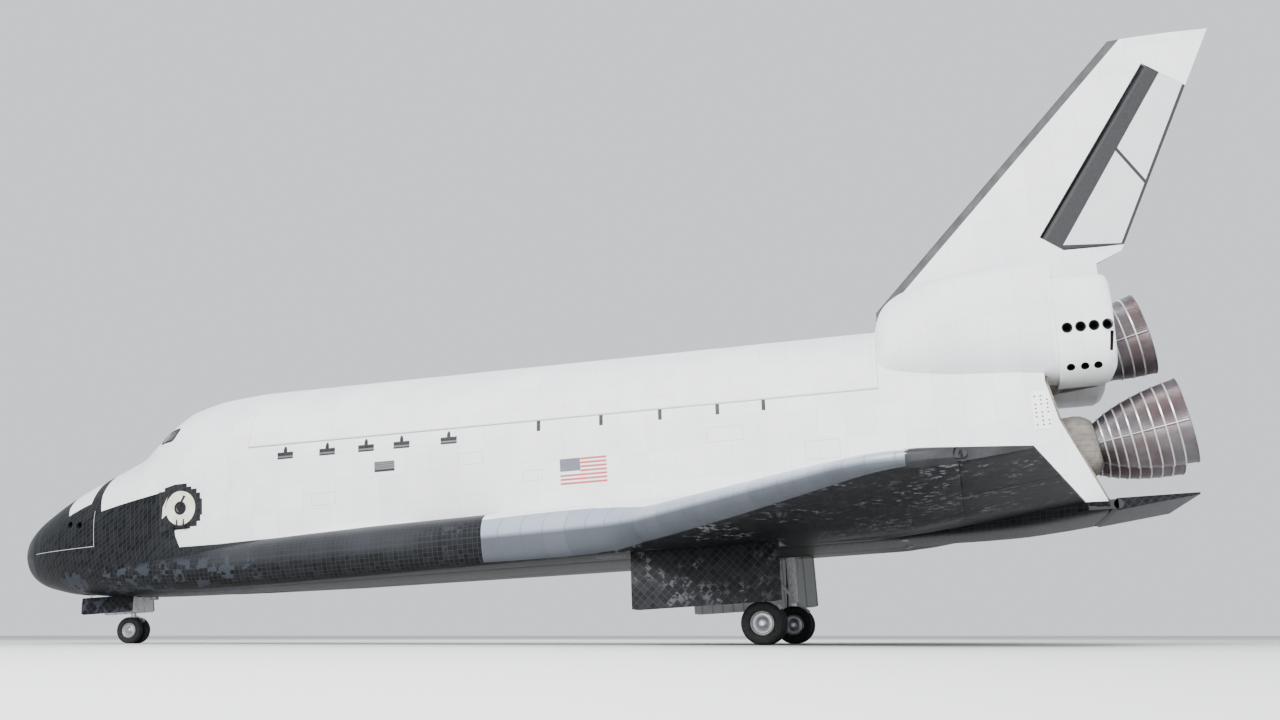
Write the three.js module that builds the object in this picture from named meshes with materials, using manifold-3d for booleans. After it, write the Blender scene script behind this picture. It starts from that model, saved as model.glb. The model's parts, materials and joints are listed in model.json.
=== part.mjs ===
// A winged space shuttle orbiter, parked on its landing gear with its payload bay doors closed.
// Lengths are in inches at the orbiter's own stations: X runs aft, Y to starboard, Z up.
// The group at the end turns inches into millimetres, tips the nose down by the parking
// angle and puts the tyres on the ground, with the nose towards -X and the port side towards -Y.
import * as THREE from 'three';
import { mergeVertices } from 'three/addons/utils/BufferGeometryUtils.js';
import Module from 'manifold-3d';

const wasm = await Module();
wasm.setup();

// Driving dimensions
const MILLIMETRES = 25.4;
const PARKING_ANGLE = THREE.MathUtils.degToRad(3.5);
const SEAT = 0.014; // gap between fixed pieces that touch
const CLEAR = 0.25; // running gap of pieces that move
const FAR = 400; // reach of cutting shapes beyond the orbiter

const NOSE_CAP_END = 262;
const FORWARD_RCS_END = 378;
const CABIN_END = 582; // forward end of the payload bay
const BAY_END = 1307;
const TAIL_END = 1528.3;
const SPLIT_HEIGHT = 330; // joint between lower and upper forward fuselage

const BAY_CENTRE = 400; // height of the bay's centre line
const BODY_RADIUS = 105;
const DOOR_THICKNESS = 5.5;
const BAY_RADIUS = 92;
const DOOR_HINGE_HEIGHT = 427;
const CABIN_WALL = 4;

const WING_HINGE_X = 1387;
const TYRE_SIDES = 20;

// Materials
function finish(color, roughness, metalness = 0) {
  return new THREE.MeshStandardMaterial({ color, roughness, metalness });
}
const whiteTile = finish(0xe6e6e8, 0.6);
const blackTile = finish(0x2b2c2e, 0.75);
const greyCarbon = finish(0x858b96, 0.5);
const glass = finish(0x1b2026, 0.1);
const rubber = finish(0x1c1c1d, 0.9);
const steel = finish(0xb9bcc0, 0.35, 0.8);
const whitePaint = finish(0xdedfe0, 0.45);
const nozzleMetal = finish(0xa9a4a2, 0.4, 0.7);
const hatchPaint = finish(0xdfe0d0, 0.55);
const blanket = finish(0x8f8a80, 0.85);
const cockpitGrey = finish(0x6e7378, 0.6);

// Solids from three.js geometry
function solidOf(geometry) {
  geometry.deleteAttribute('normal');
  geometry.deleteAttribute('uv');
  const merged = mergeVertices(geometry, 1e-4);
  const corners = [];
  const index = merged.index.array;
  for (let i = 0; i < index.length; i += 3) {
    const [a, b, c] = [index[i], index[i + 1], index[i + 2]];
    if (a !== b && b !== c && c !== a) corners.push(a, b, c);
  }
  const build = (triangles) => new wasm.Manifold(new wasm.Mesh({
    numProp: 3,
    vertProperties: new Float32Array(merged.attributes.position.array),
    triVerts: new Uint32Array(triangles),
  }));
  const body = build(corners);
  return body.volume() > 0 ? body : build(corners.reverse());
}

function geometryOf(body) {
  const mesh = body.getMesh();
  const geometry = new THREE.BufferGeometry();
  geometry.setAttribute('position', new THREE.BufferAttribute(new Float32Array(mesh.vertProperties), 3));
  geometry.setIndex(new THREE.BufferAttribute(new Uint32Array(mesh.triVerts), 1));
  geometry.computeVertexNormals();
  return geometry;
}

// A skin through rings of equally many points, closed by a flat fan at each end.
// The two sides of Y = 0 split their quads the mirrored way, so port and starboard match.
function loft(rings) {
  const count = rings[0].length;
  const positions = rings.flat().flatMap((point) => [point.x, point.y, point.z]);
  const index = [];
  for (let ring = 0; ring + 1 < rings.length; ring++) {
    for (let i = 0; i < count; i++) {
      const a = ring * count + i;
      const b = ring * count + ((i + 1) % count);
      const port = rings[ring][i].y + rings[ring][(i + 1) % count].y < 0;
      if (port) index.push(a, b, a + count, b, b + count, a + count);
      else index.push(a, b, b + count, a, b + count, a + count);
    }
  }
  const ends = [[rings[0], 0, true], [rings.at(-1), (rings.length - 1) * count, false]];
  for (const [ring, first, reversed] of ends) {
    const middle = new THREE.Vector3();
    ring.forEach((point) => middle.add(point));
    middle.divideScalar(count);
    const centre = positions.length / 3;
    positions.push(middle.x, middle.y, middle.z);
    for (let i = 0; i < count; i++) {
      const [a, b] = [first + i, first + ((i + 1) % count)];
      if (reversed) index.push(centre, b, a);
      else index.push(centre, a, b);
    }
  }
  const geometry = new THREE.BufferGeometry();
  geometry.setAttribute('position', new THREE.Float32BufferAttribute(positions, 3));
  geometry.setIndex(index);
  return solidOf(geometry);
}

function box(x0, x1, y0, y1, z0, z1) {
  const geometry = new THREE.BoxGeometry(x1 - x0, y1 - y0, z1 - z0);
  geometry.translate((x0 + x1) / 2, (y0 + y1) / 2, (z0 + z1) / 2);
  return solidOf(geometry);
}

// A flat outline pushed along one axis; points are [y, z], [x, z] or [x, y]
function prism(axis, points, from, to) {
  const shape = new THREE.Shape(points.map(([u, v]) => new THREE.Vector2(u, v)));
  const geometry = new THREE.ExtrudeGeometry(shape, { depth: to - from, bevelEnabled: false });
  const turn = new THREE.Matrix4();
  if (axis === 'x') turn.set(0, 0, 1, from, 1, 0, 0, 0, 0, 1, 0, 0, 0, 0, 0, 1);
  if (axis === 'y') turn.set(1, 0, 0, 0, 0, 0, -1, to, 0, 1, 0, 0, 0, 0, 0, 1);
  if (axis === 'z') turn.makeTranslation(0, 0, from);
  geometry.applyMatrix4(turn);
  return solidOf(geometry);
}

// A round bar, or a cone, between two points
function rod(from, to, radius, endRadius = radius, sides = 16) {
  const [start, end] = [new THREE.Vector3(...from), new THREE.Vector3(...to)];
  const run = end.clone().sub(start);
  const geometry = new THREE.CylinderGeometry(endRadius, radius, run.length(), sides);
  const turn = new THREE.Quaternion().setFromUnitVectors(new THREE.Vector3(0, 1, 0), run.clone().normalize());
  geometry.applyQuaternion(turn);
  geometry.translate(...start.add(end).multiplyScalar(0.5));
  return solidOf(geometry);
}

// A shape turned about an axis; profile points are [distance along the axis, radius]
function turned(profile, origin, direction, sides) {
  const outline = profile.map(([along, radius]) => new THREE.Vector2(radius, along));
  const geometry = new THREE.LatheGeometry(outline, sides);
  const axis = new THREE.Vector3(...direction).normalize();
  geometry.applyQuaternion(new THREE.Quaternion().setFromUnitVectors(new THREE.Vector3(0, 1, 0), axis));
  geometry.translate(...origin);
  return solidOf(geometry);
}

const mirrored = (body) => body.mirror([0, 1, 0]);
const joined = (bodies) => bodies.reduce((sum, body) => sum.add(body));

const shuttle = new THREE.Group();
function piece(name, body, material) {
  const mesh = new THREE.Mesh(geometryOf(body), material);
  mesh.name = name;
  shuttle.add(mesh);
}
function pair(name, portBody, material) {
  piece(`${name}_left`, portBody, material);
  piece(`${name}_right`, mirrored(portBody), material);
}

// Fuselage sections: each is two superellipse halves that meet at the widest height
const FUSELAGE = [
  // station, bottom, widest, top, half width, lower power, upper power
  [235.0, 329, 330, 331, 1, 2, 2],
  [236.5, 318, 330, 341, 10, 2, 2],
  [240, 309, 330, 349, 16, 2, 2],
  [246, 301, 330, 357, 23, 2, 2],
  [254, 295, 331, 364, 30, 2.1, 2],
  [266, 289, 332, 373, 38, 2.2, 2],
  [282, 284, 334, 382, 48, 2.3, 2],
  [302, 279, 337, 393, 58, 2.4, 2],
  [325, 275.5, 341, 404, 67, 2.5, 2],
  [350, 272.5, 346, 414, 75, 2.7, 2],
  [378, 270.5, 353, 424.5, 82, 3, 2],
  [400, 269.4, 360, 433, 87, 3.2, 2],
  [422, 268.5, 367, 443, 91, 3.4, 2],
  [444, 267.9, 374, 465, 94, 3.7, 2],
  [464, 267.5, 379, 482, 96.5, 4, 2.05],
  [484, 267.2, 384, 492.5, 99, 4.4, 2.1],
  [510, 267, 390, 499, 101.5, 5, 2.1],
  [545, 267, 396, 503, 103.8, 6, 2.05],
  [576, 267, 400, 505, 105, 7, 2],
  [1307, 267, 400, 505, 105, 8, 2],
  [1345, 267, 380, 505, 107.5, 8, 2],
  [1390, 267, 350, 505, 113, 8, 2],
  [1440, 268, 325, 503, 120, 8, 2.1],
  [1490, 272, 310, 498, 127, 8, 2.2],
  [1528.6, 276.5, 300, 492, 132, 8, 2.3],
];
const RING_POINTS = 32;

const power = (value, exponent) => Math.sign(value) * Math.abs(value) ** exponent;

function superellipse(station, middle, halfWidth, centre, rise, drop, upper, lower, count) {
  const ring = [];
  for (let i = 0; i < count; i++) {
    const angle = (i * 2 * Math.PI) / count;
    const above = Math.sin(angle) >= 0;
    const exponent = 2 / (above ? upper : lower);
    const y = middle + halfWidth * power(Math.cos(angle), exponent);
    const z = centre + (above ? rise : drop) * power(Math.sin(angle), exponent);
    ring.push(new THREE.Vector3(station, y, z));
  }
  return ring;
}

function sectionAt(station) {
  const after = Math.max(1, FUSELAGE.findIndex((row) => row[0] >= station));
  const [low, high] = [FUSELAGE[after - 1], FUSELAGE[after]];
  const share = (station - low[0]) / (high[0] - low[0]);
  return low.map((value, column) => value + share * (high[column] - value));
}

function fuselage(from, to, inset = 0) {
  const inside = FUSELAGE.map((row) => row[0]).filter((station) => station > from && station < to);
  const rings = [from, ...inside, to].map((station) => {
    const [, bottom, widest, top, halfWidth, lower, upper] = sectionAt(station);
    const rise = top - widest - inset;
    const drop = widest - bottom - inset;
    return superellipse(station, 0, halfWidth - inset, widest, rise, drop, upper, lower, RING_POINTS);
  });
  return loft(rings);
}

// Point on the skin at a station and a side distance, on the upper half
function skinHeight(station, y) {
  const [, , widest, top, halfWidth, , upper] = sectionAt(station);
  return widest + (top - widest) * (1 - (Math.abs(y) / halfWidth) ** upper) ** (1 / upper);
}

const forwardBody = fuselage(235, CABIN_END - SEAT);
const above = (height) => box(-FAR, FAR * 6, -FAR, FAR, height, height + 2 * FAR);
const between = (x0, x1) => box(x0, x1, -FAR, FAR, -FAR, 3 * FAR);

// Nose cap of reinforced carbon
piece('nose_cap', forwardBody.intersect(between(200, NOSE_CAP_END)), greyCarbon);

// Forward thruster module
const THRUSTERS_FORWARD = [
  // station, height, radius
  [327, 359, 4],
  [339, 359, 4],
];
let forwardRcs = forwardBody.intersect(between(NOSE_CAP_END + SEAT, FORWARD_RCS_END)).intersect(above(SPLIT_HEIGHT + SEAT));
for (const [station, height, radius] of THRUSTERS_FORWARD) {
  for (const side of [-1, 1]) {
    forwardRcs = forwardRcs.subtract(rod([station, side * 48, height], [station, side * 90, height], radius, radius, 12));
  }
}
piece('forward_rcs_module', forwardRcs, blackTile);

// Round flat pads under the belly, where the orbiter is held on a carrier: place and face height
const ATTACH = { radius: 5, face: 265.4, root: 271, front: [405, 0], rear: [1318, 60] };
const attachPad = ([x, y]) => rod([x, y, ATTACH.face], [x, y, ATTACH.root], ATTACH.radius, ATTACH.radius, 16);

// Lower forward fuselage, with the well of the nose gear
const NOSE_WELL = { x0: 318, x1: 392, halfWidth: 21, roof: 318 };
const noseWell = box(NOSE_WELL.x0, NOSE_WELL.x1, -NOSE_WELL.halfWidth, NOSE_WELL.halfWidth, 200, NOSE_WELL.roof);
const forwardLower = forwardBody
  .intersect(between(NOSE_CAP_END + SEAT, CABIN_END))
  .subtract(above(SPLIT_HEIGHT))
  .subtract(noseWell)
  .add(attachPad(ATTACH.front));
piece('forward_fuselage_lower', forwardLower, blackTile);

// Crew cabin: a hollow shell with its windows and hatchway cut through
const CABIN_FRONT = 418;
const CABIN_BULKHEAD = 574;
const cabinVoid = fuselage(CABIN_FRONT, CABIN_BULKHEAD, CABIN_WALL).intersect(above(SPLIT_HEIGHT + 6));

// Windows: place on the skin, aim of the opening, and its size
const WINDOWS = [
  // name, station, y, heading (degrees from forward towards port), climb, width, height
  ['windshield_centre', 441, -15, 0, 44, 25, 20],
  ['windshield_middle', 447, -43.5, 30, 40, 21.5, 18.5],
  ['windshield_side', 465, -68, 64, 36, 22, 16],
  ['overhead_window', 497, -21, 0, 83, 20, 22],
];

function windowFrame(station, y, heading, climb) {
  const turn = THREE.MathUtils.degToRad(heading);
  const lift = THREE.MathUtils.degToRad(climb);
  const out = new THREE.Vector3(-Math.cos(turn) * Math.cos(lift), -Math.sin(turn) * Math.cos(lift), Math.sin(lift));
  const across = new THREE.Vector3(Math.sin(turn), -Math.cos(turn), 0);
  const up = out.clone().cross(across);
  const place = new THREE.Matrix4().makeBasis(across, up, out);
  place.setPosition(station, y, skinHeight(station, y));
  return place;
}

function windowPrism(row, margin) {
  const [, station, y, heading, climb, width, height] = row;
  const geometry = new THREE.BoxGeometry(width - 2 * margin, height - 2 * margin, 22);
  geometry.applyMatrix4(windowFrame(station, y, heading, climb));
  return solidOf(geometry);
}

const HATCH = { station: 495, height: 363, radius: 20, thickness: CABIN_WALL, taper: 0.8 };
const hatchSkin = sectionAt(HATCH.station)[4];
const hatchSlope = (sectionAt(HATCH.station + 10)[4] - sectionAt(HATCH.station - 10)[4]) / 20;
const hatchOut = new THREE.Vector3(-hatchSlope, -1, 0).normalize();
const hatchAlong = new THREE.Vector3(1, -hatchSlope, 0).normalize();
const hatchCentre = new THREE.Vector3(HATCH.station, -hatchSkin, HATCH.height);
const hatchPoint = (out, along, up) => hatchCentre.clone()
  .addScaledVector(hatchOut, out).addScaledVector(hatchAlong, along).add(new THREE.Vector3(0, 0, up)).toArray();

let cabinShell = forwardBody
  .intersect(between(FORWARD_RCS_END + SEAT, CABIN_END))
  .intersect(above(SPLIT_HEIGHT + SEAT))
  .subtract(cabinVoid)
  .subtract(rod(hatchPoint(-14, 0, 0), hatchPoint(14, 0, 0), HATCH.radius + CLEAR, HATCH.radius + CLEAR, 32));
for (const row of WINDOWS) {
  cabinShell = cabinShell.subtract(windowPrism(row, 0)).subtract(mirrored(windowPrism(row, 0)));
}

// The side hatch swings down on a pin between two lugs below its rim
const HATCH_HINGE = { out: 1.3, drop: 22.4, radius: 1.2, halfLength: 7, lug: 1.4, lugRadius: 2.6 };
const hatchHingeAt = (along) => hatchPoint(HATCH_HINGE.out, along, -HATCH_HINGE.drop);
for (const side of [-1, 1]) {
  const near = side * (HATCH_HINGE.halfLength + SEAT);
  const far = side * (HATCH_HINGE.halfLength + HATCH_HINGE.lug);
  cabinShell = cabinShell.add(rod(hatchHingeAt(near), hatchHingeAt(far), HATCH_HINGE.lugRadius));
}
const BAY_WINDOW = { y: 14, width: 13, low: 462, high: 475 };
for (const side of [-1, 1]) {
  const middle = side * BAY_WINDOW.y;
  const half = BAY_WINDOW.width / 2;
  cabinShell = cabinShell.subtract(box(560, 590, middle - half, middle + half, BAY_WINDOW.low, BAY_WINDOW.high));
}
piece('crew_cabin_shell', cabinShell, whiteTile);

const paneLayer = fuselage(400, 570, 1.2).subtract(fuselage(399, 571, 2.4));
for (const row of WINDOWS) {
  pair(row[0], paneLayer.intersect(windowPrism(row, SEAT)), glass);
}

// Side hatch on the port side, with a round window in its middle
const hatchHole = rod(hatchPoint(-12, 0, 0), hatchPoint(12, 0, 0), 5, 5, 20);
const hatchPlug = rod(
  hatchPoint(-HATCH.thickness * 1.6, 0, 0), hatchPoint(3, 0, 0),
  HATCH.radius - HATCH.taper * 1.6, HATCH.radius + HATCH.taper * 0.75, 32,
);
function hatchBlock(out0, out1, halfLength, up0, up1) {
  const geometry = new THREE.BoxGeometry(2 * halfLength, up1 - up0, out1 - out0);
  const turn = new THREE.Matrix4().makeBasis(hatchAlong, new THREE.Vector3(0, 0, 1), hatchOut.clone().negate());
  turn.setPosition(...hatchPoint((out0 + out1) / 2, 0, (up0 + up1) / 2));
  return solidOf(geometry.applyMatrix4(turn));
}
const hatchArm = hatchBlock(0.7, 2.4, HATCH_HINGE.halfLength - 1.5, -HATCH_HINGE.drop, -12)
  .add(hatchBlock(-1.2, 2.4, HATCH_HINGE.halfLength - 1.5, -18.5, -12));
const hatchPlate = fuselage(460, 530, 0).subtract(fuselage(459, 531, HATCH.thickness)).intersect(hatchPlug);
const hatch = joined([
  hatchPlate,
  hatchArm,
  rod(hatchHingeAt(-HATCH_HINGE.halfLength), hatchHingeAt(HATCH_HINGE.halfLength), HATCH_HINGE.radius),
]).subtract(hatchHole);
piece('crew_hatch', hatch, hatchPaint);
const hatchPane = rod(hatchPoint(-12, 0, 0), hatchPoint(12, 0, 0), 5 - SEAT, 5 - SEAT, 20);
piece('hatch_window', fuselage(460, 530, 1.2).subtract(fuselage(459, 531, 2.2)).intersect(hatchPane), glass);

// Flight deck: floor, instrument panel with its hood, and two seats standing on it
const DECK = { top: 416, thickness: 3 };
const deckRoom = fuselage(CABIN_FRONT + SEAT, CABIN_BULKHEAD - SEAT, CABIN_WALL + SEAT);
const seat = (y) => joined([
  box(474, 494, y - 9, y + 9, DECK.top - 1, DECK.top + 14),
  prism('y', [[488, 426], [494, 426], [502, 458], [496, 458]], y - 8.5, y + 8.5),
  box(493, 501, y - 5, y + 5, 452, 464),
]);
const flightDeck = joined([
  box(420, 573, -110, 110, DECK.top - DECK.thickness, DECK.top),
  prism('y', [[446, DECK.top - 1], [458, DECK.top - 1], [458, 436], [452, 447], [444, 447]], -52, 52),
  box(462, 488, -4.5, 4.5, DECK.top - 1, DECK.top + 12),
  seat(-24),
  seat(24),
]).intersect(deckRoom).subtract(box(542, 570, -66, -38, 400, 430)).subtract(box(542, 570, 38, 66, 400, 430));
piece('flight_deck', flightDeck, cockpitGrey);

// Mid fuselage: an open trough below the payload bay doors
const DOOR_ROD = 1.2;
const SILL_HEIGHT = DOOR_HINGE_HEIGHT - DOOR_ROD - SEAT;
const bayVoid = rod([CABIN_END - 20, 0, BAY_CENTRE], [BAY_END + 20, 0, BAY_CENTRE], BAY_RADIUS, BAY_RADIUS, 40);
const SILL = { inner: 97, outer: 101.95, depth: 2.2 };
const sill = box(CABIN_END, BAY_END - SEAT, -SILL.outer, -SILL.inner, SILL_HEIGHT - SILL.depth, SILL_HEIGHT);
const midBody = fuselage(CABIN_END, BAY_END - SEAT)
  .subtract(above(SILL_HEIGHT))
  .subtract(bayVoid)
  .subtract(box(500, 1400, -88, 88, BAY_CENTRE, 600));
piece('mid_fuselage', joined([midBody, sill, mirrored(sill)]), whiteTile);

// Payload bay doors: each turns on a rod along the sill
const doorHingeY = Math.sqrt(BODY_RADIUS ** 2 - (DOOR_HINGE_HEIGHT - BAY_CENTRE) ** 2) + 0.35;
const DOOR_ENDS = [CABIN_END + 0.3, BAY_END - 0.3];
const doorSkin = fuselage(...DOOR_ENDS).subtract(fuselage(DOOR_ENDS[0] - 1, DOOR_ENDS[1] + 1, DOOR_THICKNESS));
const doorEdge = DOOR_HINGE_HEIGHT - 0.9;
const doorRegion = box(500, 1400, -FAR, -0.12, doorEdge, 600);
const bayDoor = doorSkin.intersect(doorRegion).add(
  rod([DOOR_ENDS[0], -doorHingeY, DOOR_HINGE_HEIGHT], [DOOR_ENDS[1], -doorHingeY, DOOR_HINGE_HEIGHT], DOOR_ROD, DOOR_ROD, 12),
);
pair('payload_bay_door', bayDoor, whiteTile);

// Aft fuselage: the side view of its sloping base is an outline of [station, height]
const BASE_LINE = [[TAIL_END, 262], [TAIL_END, 285], [1490, 373], [1481, 416], [1484, 520]];
const behind = (shift) => prism(
  'y', [...BASE_LINE.map(([x, z]) => [x + shift, z]), [1600, 520], [1600, 262]], -FAR, FAR,
);
const SHIELD_THICKNESS = 3;
let aftBody = fuselage(BAY_END, TAIL_END).subtract(behind(-SHIELD_THICKNESS - SEAT));

// Main engines: place of the gimbal, climb and outward swing of the nozzle in degrees
const ENGINES = [
  // name, station, y, height, climb, outward
  ['main_engine_top', 1445, 0, 441, 13, 0],
  ['main_engine_left', 1468.2, -53, 342.6, 10, -3.5],
  ['main_engine_right', 1468.2, 53, 342.6, 10, 3.5],
];
const NOZZLE = { base: 60, exit: 152, wall: 1.6 };
const BELL = [
  // distance from the gimbal, outer radius
  [60, 22],
  [76, 29.6],
  [98, 36.8],
  [125, 42.4],
  [152, 45.4],
];
function nozzleDirection(climb, outward) {
  const lift = THREE.MathUtils.degToRad(climb);
  const swing = THREE.MathUtils.degToRad(outward);
  return [Math.cos(lift) * Math.cos(swing), Math.cos(lift) * Math.sin(swing), Math.sin(lift)];
}

// Base heat shield with a dome for each engine
const shieldPlate = fuselage(1400, TAIL_END, 7).intersect(behind(-SHIELD_THICKNESS)).subtract(behind(0));
const domes = ENGINES.map(([, x, y, z, climb, outward]) => {
  const aim = nozzleDirection(climb, outward);
  const profile = [[10, 0], [10, 36], [46, 34], [54, 30], [NOZZLE.base - SEAT, 24], [NOZZLE.base - SEAT, 0]];
  return turned(profile, [x, y, z], aim, 24);
});
const shield = joined([shieldPlate, ...domes.map((dome) => dome.intersect(behind(-1)))]);
piece('base_heat_shield', shield, blanket);

for (const [name, x, y, z, climb, outward] of ENGINES) {
  const inside = BELL.slice(1).map(([along, radius]) => [along, radius - NOZZLE.wall]).reverse();
  const throat = [[NOZZLE.base + 3, 19], [NOZZLE.base + 3, 0]];
  const profile = [[NOZZLE.base, 0], ...BELL, ...inside, ...throat];
  piece(name, turned(profile, [x, y, z], nozzleDirection(climb, outward), 24), nozzleMetal);
}

// Body flap below the engines, turning between two lugs
const FLAP = { x: 1534.7, z: 283, nose: 6, tip: 1613, halfWidth: 126, lug: 1.6 };
const flapOutline = [[FLAP.x, FLAP.z - FLAP.nose], [FLAP.tip, 286.5], [FLAP.tip, 288.5], [FLAP.x, FLAP.z + FLAP.nose]];
const flap = joined([
  prism('y', flapOutline, -FLAP.halfWidth, FLAP.halfWidth),
  rod([FLAP.x, -FLAP.halfWidth, FLAP.z], [FLAP.x, FLAP.halfWidth, FLAP.z], FLAP.nose, FLAP.nose, 16),
  rod([FLAP.x, -FLAP.halfWidth - CLEAR + SEAT, FLAP.z], [FLAP.x, FLAP.halfWidth + CLEAR - SEAT, FLAP.z], 2.5),
]);
piece('body_flap', flap, blackTile);
for (const side of [-1, 1]) {
  const inner = side * (FLAP.halfWidth + CLEAR);
  const outer = side * (FLAP.halfWidth + CLEAR + FLAP.lug);
  const lug = joined([
    rod([FLAP.x, inner, FLAP.z], [FLAP.x, outer, FLAP.z], 5, 5, 16),
    box(1505, FLAP.x, Math.min(inner, outer), Math.max(inner, outer), FLAP.z - 4.5, FLAP.z + 5),
  ]);
  aftBody = aftBody.add(lug);
}
const [rearX, rearY] = ATTACH.rear;
piece('aft_fuselage', joined([aftBody, attachPad([rearX, -rearY]), attachPad([rearX, rearY])]), whiteTile);

// Orbital manoeuvring pods: round forward part, then the boxier thruster housing
const POD = [
  // station, inner y, outer y, low, top, power
  [1308.3, -36, -92, 440, 497, 2.2],
  [1313, -28, -99, 436, 511, 2.2],
  [1322, -22, -105, 434, 523, 2.2],
  [1341, -16, -110, 432, 534, 2.3],
  [1370, -13, -115, 430, 542, 2.4],
  [1410, -12, -120, 428, 548, 2.5],
  [1455, -12, -126, 424, 550, 2.6],
  [1493.5, -12, -131, 418, 549, 2.8],
  [1495, -16, -134, 415, 528, 4],
  [1540, -18, -134, 415, 526, 4],
  [1551, -24, -128, 424, 517, 4],
];
const podRings = POD.map(([station, inner, outer, low, top, exponent]) => superellipse(
  station, (inner + outer) / 2, (inner - outer) / 2, (low + top) / 2, (top - low) / 2, (top - low) / 2,
  exponent, exponent, 24,
));
const POD_THRUSTERS = [
  // station, height, radius
  [1504, 465, 4.6],
  [1517.4, 465, 4.6],
  [1530.6, 465, 4.6],
  [1544, 465, 4.6],
];
let pod = loft(podRings).subtract(fuselage(BAY_END, 1560 - 31.5, -SEAT).subtract(behind(-SHIELD_THICKNESS)));
pod = pod.subtract(fuselage(1400, TAIL_END, 7 - SEAT).intersect(behind(-SHIELD_THICKNESS - SEAT)).subtract(behind(SEAT)));
const topAim = nozzleDirection(ENGINES[0][4], ENGINES[0][5]);
const topEnginePoint = (along) => [ENGINES[0][1] + along * topAim[0], 0, ENGINES[0][3] + along * topAim[2]];
const topEngineRoom = rod(topEnginePoint(-20), topEnginePoint(NOZZLE.exit + 10), 37, 49, 28);
pod = pod.subtract(topEngineRoom);
for (const [station, height, radius] of POD_THRUSTERS) {
  pod = pod.subtract(rod([station, -118, height], [station, -150, height], radius, radius, 16));
}
pair('oms_pod', pod, whiteTile);

// Tail fin: a wedge section whose chord shrinks with height
const FIN = { rootHeight: 500, tipHeight: 815.7, rootX: 1278, rootChord: 268.5, tipChord: 108.5, wedge: 0.035 };
const FIN_SECTION = [
  // share of the chord, share of the greatest half thickness
  [0, 0.04],
  [0.012, 0.28],
  [0.045, 0.52],
  [0.12, 0.8],
  [0.3, 1],
  [0.6, 1],
  [1, 0.04],
];
const HINGE_SHARE = 0.6;
function finChord(height) {
  const share = (height - FIN.rootHeight) / (FIN.tipHeight - FIN.rootHeight);
  return FIN.rootChord + share * (FIN.tipChord - FIN.rootChord);
}
const finEdge = (height) => FIN.rootX + height - FIN.rootHeight;
const finHinge = (height) => new THREE.Vector3(finEdge(height) + HINGE_SHARE * finChord(height), 0, height);
function finRing(height) {
  const chord = finChord(height);
  const side = (sign) => ([along, thick]) => new THREE.Vector3(
    finEdge(height) + along * chord, sign * thick * FIN.wedge * chord, height,
  );
  return [...FIN_SECTION.map(side(-1)), ...[...FIN_SECTION].reverse().map(side(1))];
}
const wholeFin = loft([finRing(478), finRing(FIN.tipHeight - 3), finRing(FIN.tipHeight)]);

// The rudder turns about a line that leans aft; it is split in two to open as a speed brake
const RUDDER = { low: 590, high: 779, foot: 577.5, footGap: 1.15, shaft: 1.6 };
const rudderFoot = finHinge(RUDDER.low);
const rudderHead = finHinge(RUDDER.high);
const rudderAxis = rudderHead.clone().sub(rudderFoot).normalize();
const rudderLength = rudderHead.distanceTo(rudderFoot);
const rudderFrame = new THREE.Matrix4().makeBasis(
  new THREE.Vector3(rudderAxis.z, 0, -rudderAxis.x), new THREE.Vector3(0, 1, 0), rudderAxis,
).setPosition(rudderFoot);

// Cuts in a hinge's own frame: x aft, y across, z along the hinge
function inFrame(frame, geometry) {
  return solidOf(geometry.applyMatrix4(frame));
}
function slab(frame, x0, x1, halfWidth, z0, z1) {
  const geometry = new THREE.BoxGeometry(x1 - x0, 2 * halfWidth, z1 - z0);
  geometry.translate((x0 + x1) / 2, 0, (z0 + z1) / 2);
  return inFrame(frame, geometry);
}
function coneAlong(frame, radius, endRadius, z0, z1, sides = 24) {
  const geometry = new THREE.CylinderGeometry(endRadius, radius, z1 - z0, sides);
  geometry.rotateX(Math.PI / 2);
  geometry.translate(0, 0, (z0 + z1) / 2);
  return inFrame(frame, geometry);
}
const rudderNose = [FIN.wedge * finChord(RUDDER.low) * 0.97, FIN.wedge * finChord(RUDDER.high) * 0.97];
const flatFoot = box(1400, 1800, -FAR, FAR, 400, RUDDER.foot);
const rudderBay = joined([
  coneAlong(rudderFrame, rudderNose[0] + CLEAR, rudderNose[1] + CLEAR, 0, rudderLength),
  slab(rudderFrame, -rudderNose[1], 200, 60, 0, rudderLength),
]);
const rudderFront = (inset) => slab(rudderFrame, -rudderNose[0] - CLEAR - inset, 30, 60, 0, rudderLength);
const stubCut = prism('y', [[1553, 470], [1553, 559], [1581, 571.2], [1700, 571.2], [1700, 470]], -60, 60);
const finSolid = wholeFin
  .subtract(rudderBay.subtract(flatFoot))
  .subtract(rudderFront(0).subtract(flatFoot))
  .subtract(stubCut)
  .subtract(topEngineRoom)
  .subtract(between(1200, BAY_END + CLEAR))
  .subtract(fuselage(1240, TAIL_END, -SEAT));
piece('vertical_fin', finSolid, whiteTile);
const shaft = coneAlong(rudderFrame, RUDDER.shaft, RUDDER.shaft, SEAT, rudderLength - SEAT);
piece('rudder_shaft', shaft, steel);
const panelRegion = joined([
  coneAlong(rudderFrame, rudderNose[0], rudderNose[1], CLEAR, rudderLength - CLEAR),
  slab(rudderFrame, 0, 200, 60, CLEAR, rudderLength - CLEAR),
]);
const shaftRoom = coneAlong(rudderFrame, RUDDER.shaft + 2 * SEAT, RUDDER.shaft + 2 * SEAT, 0, rudderLength);
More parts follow.
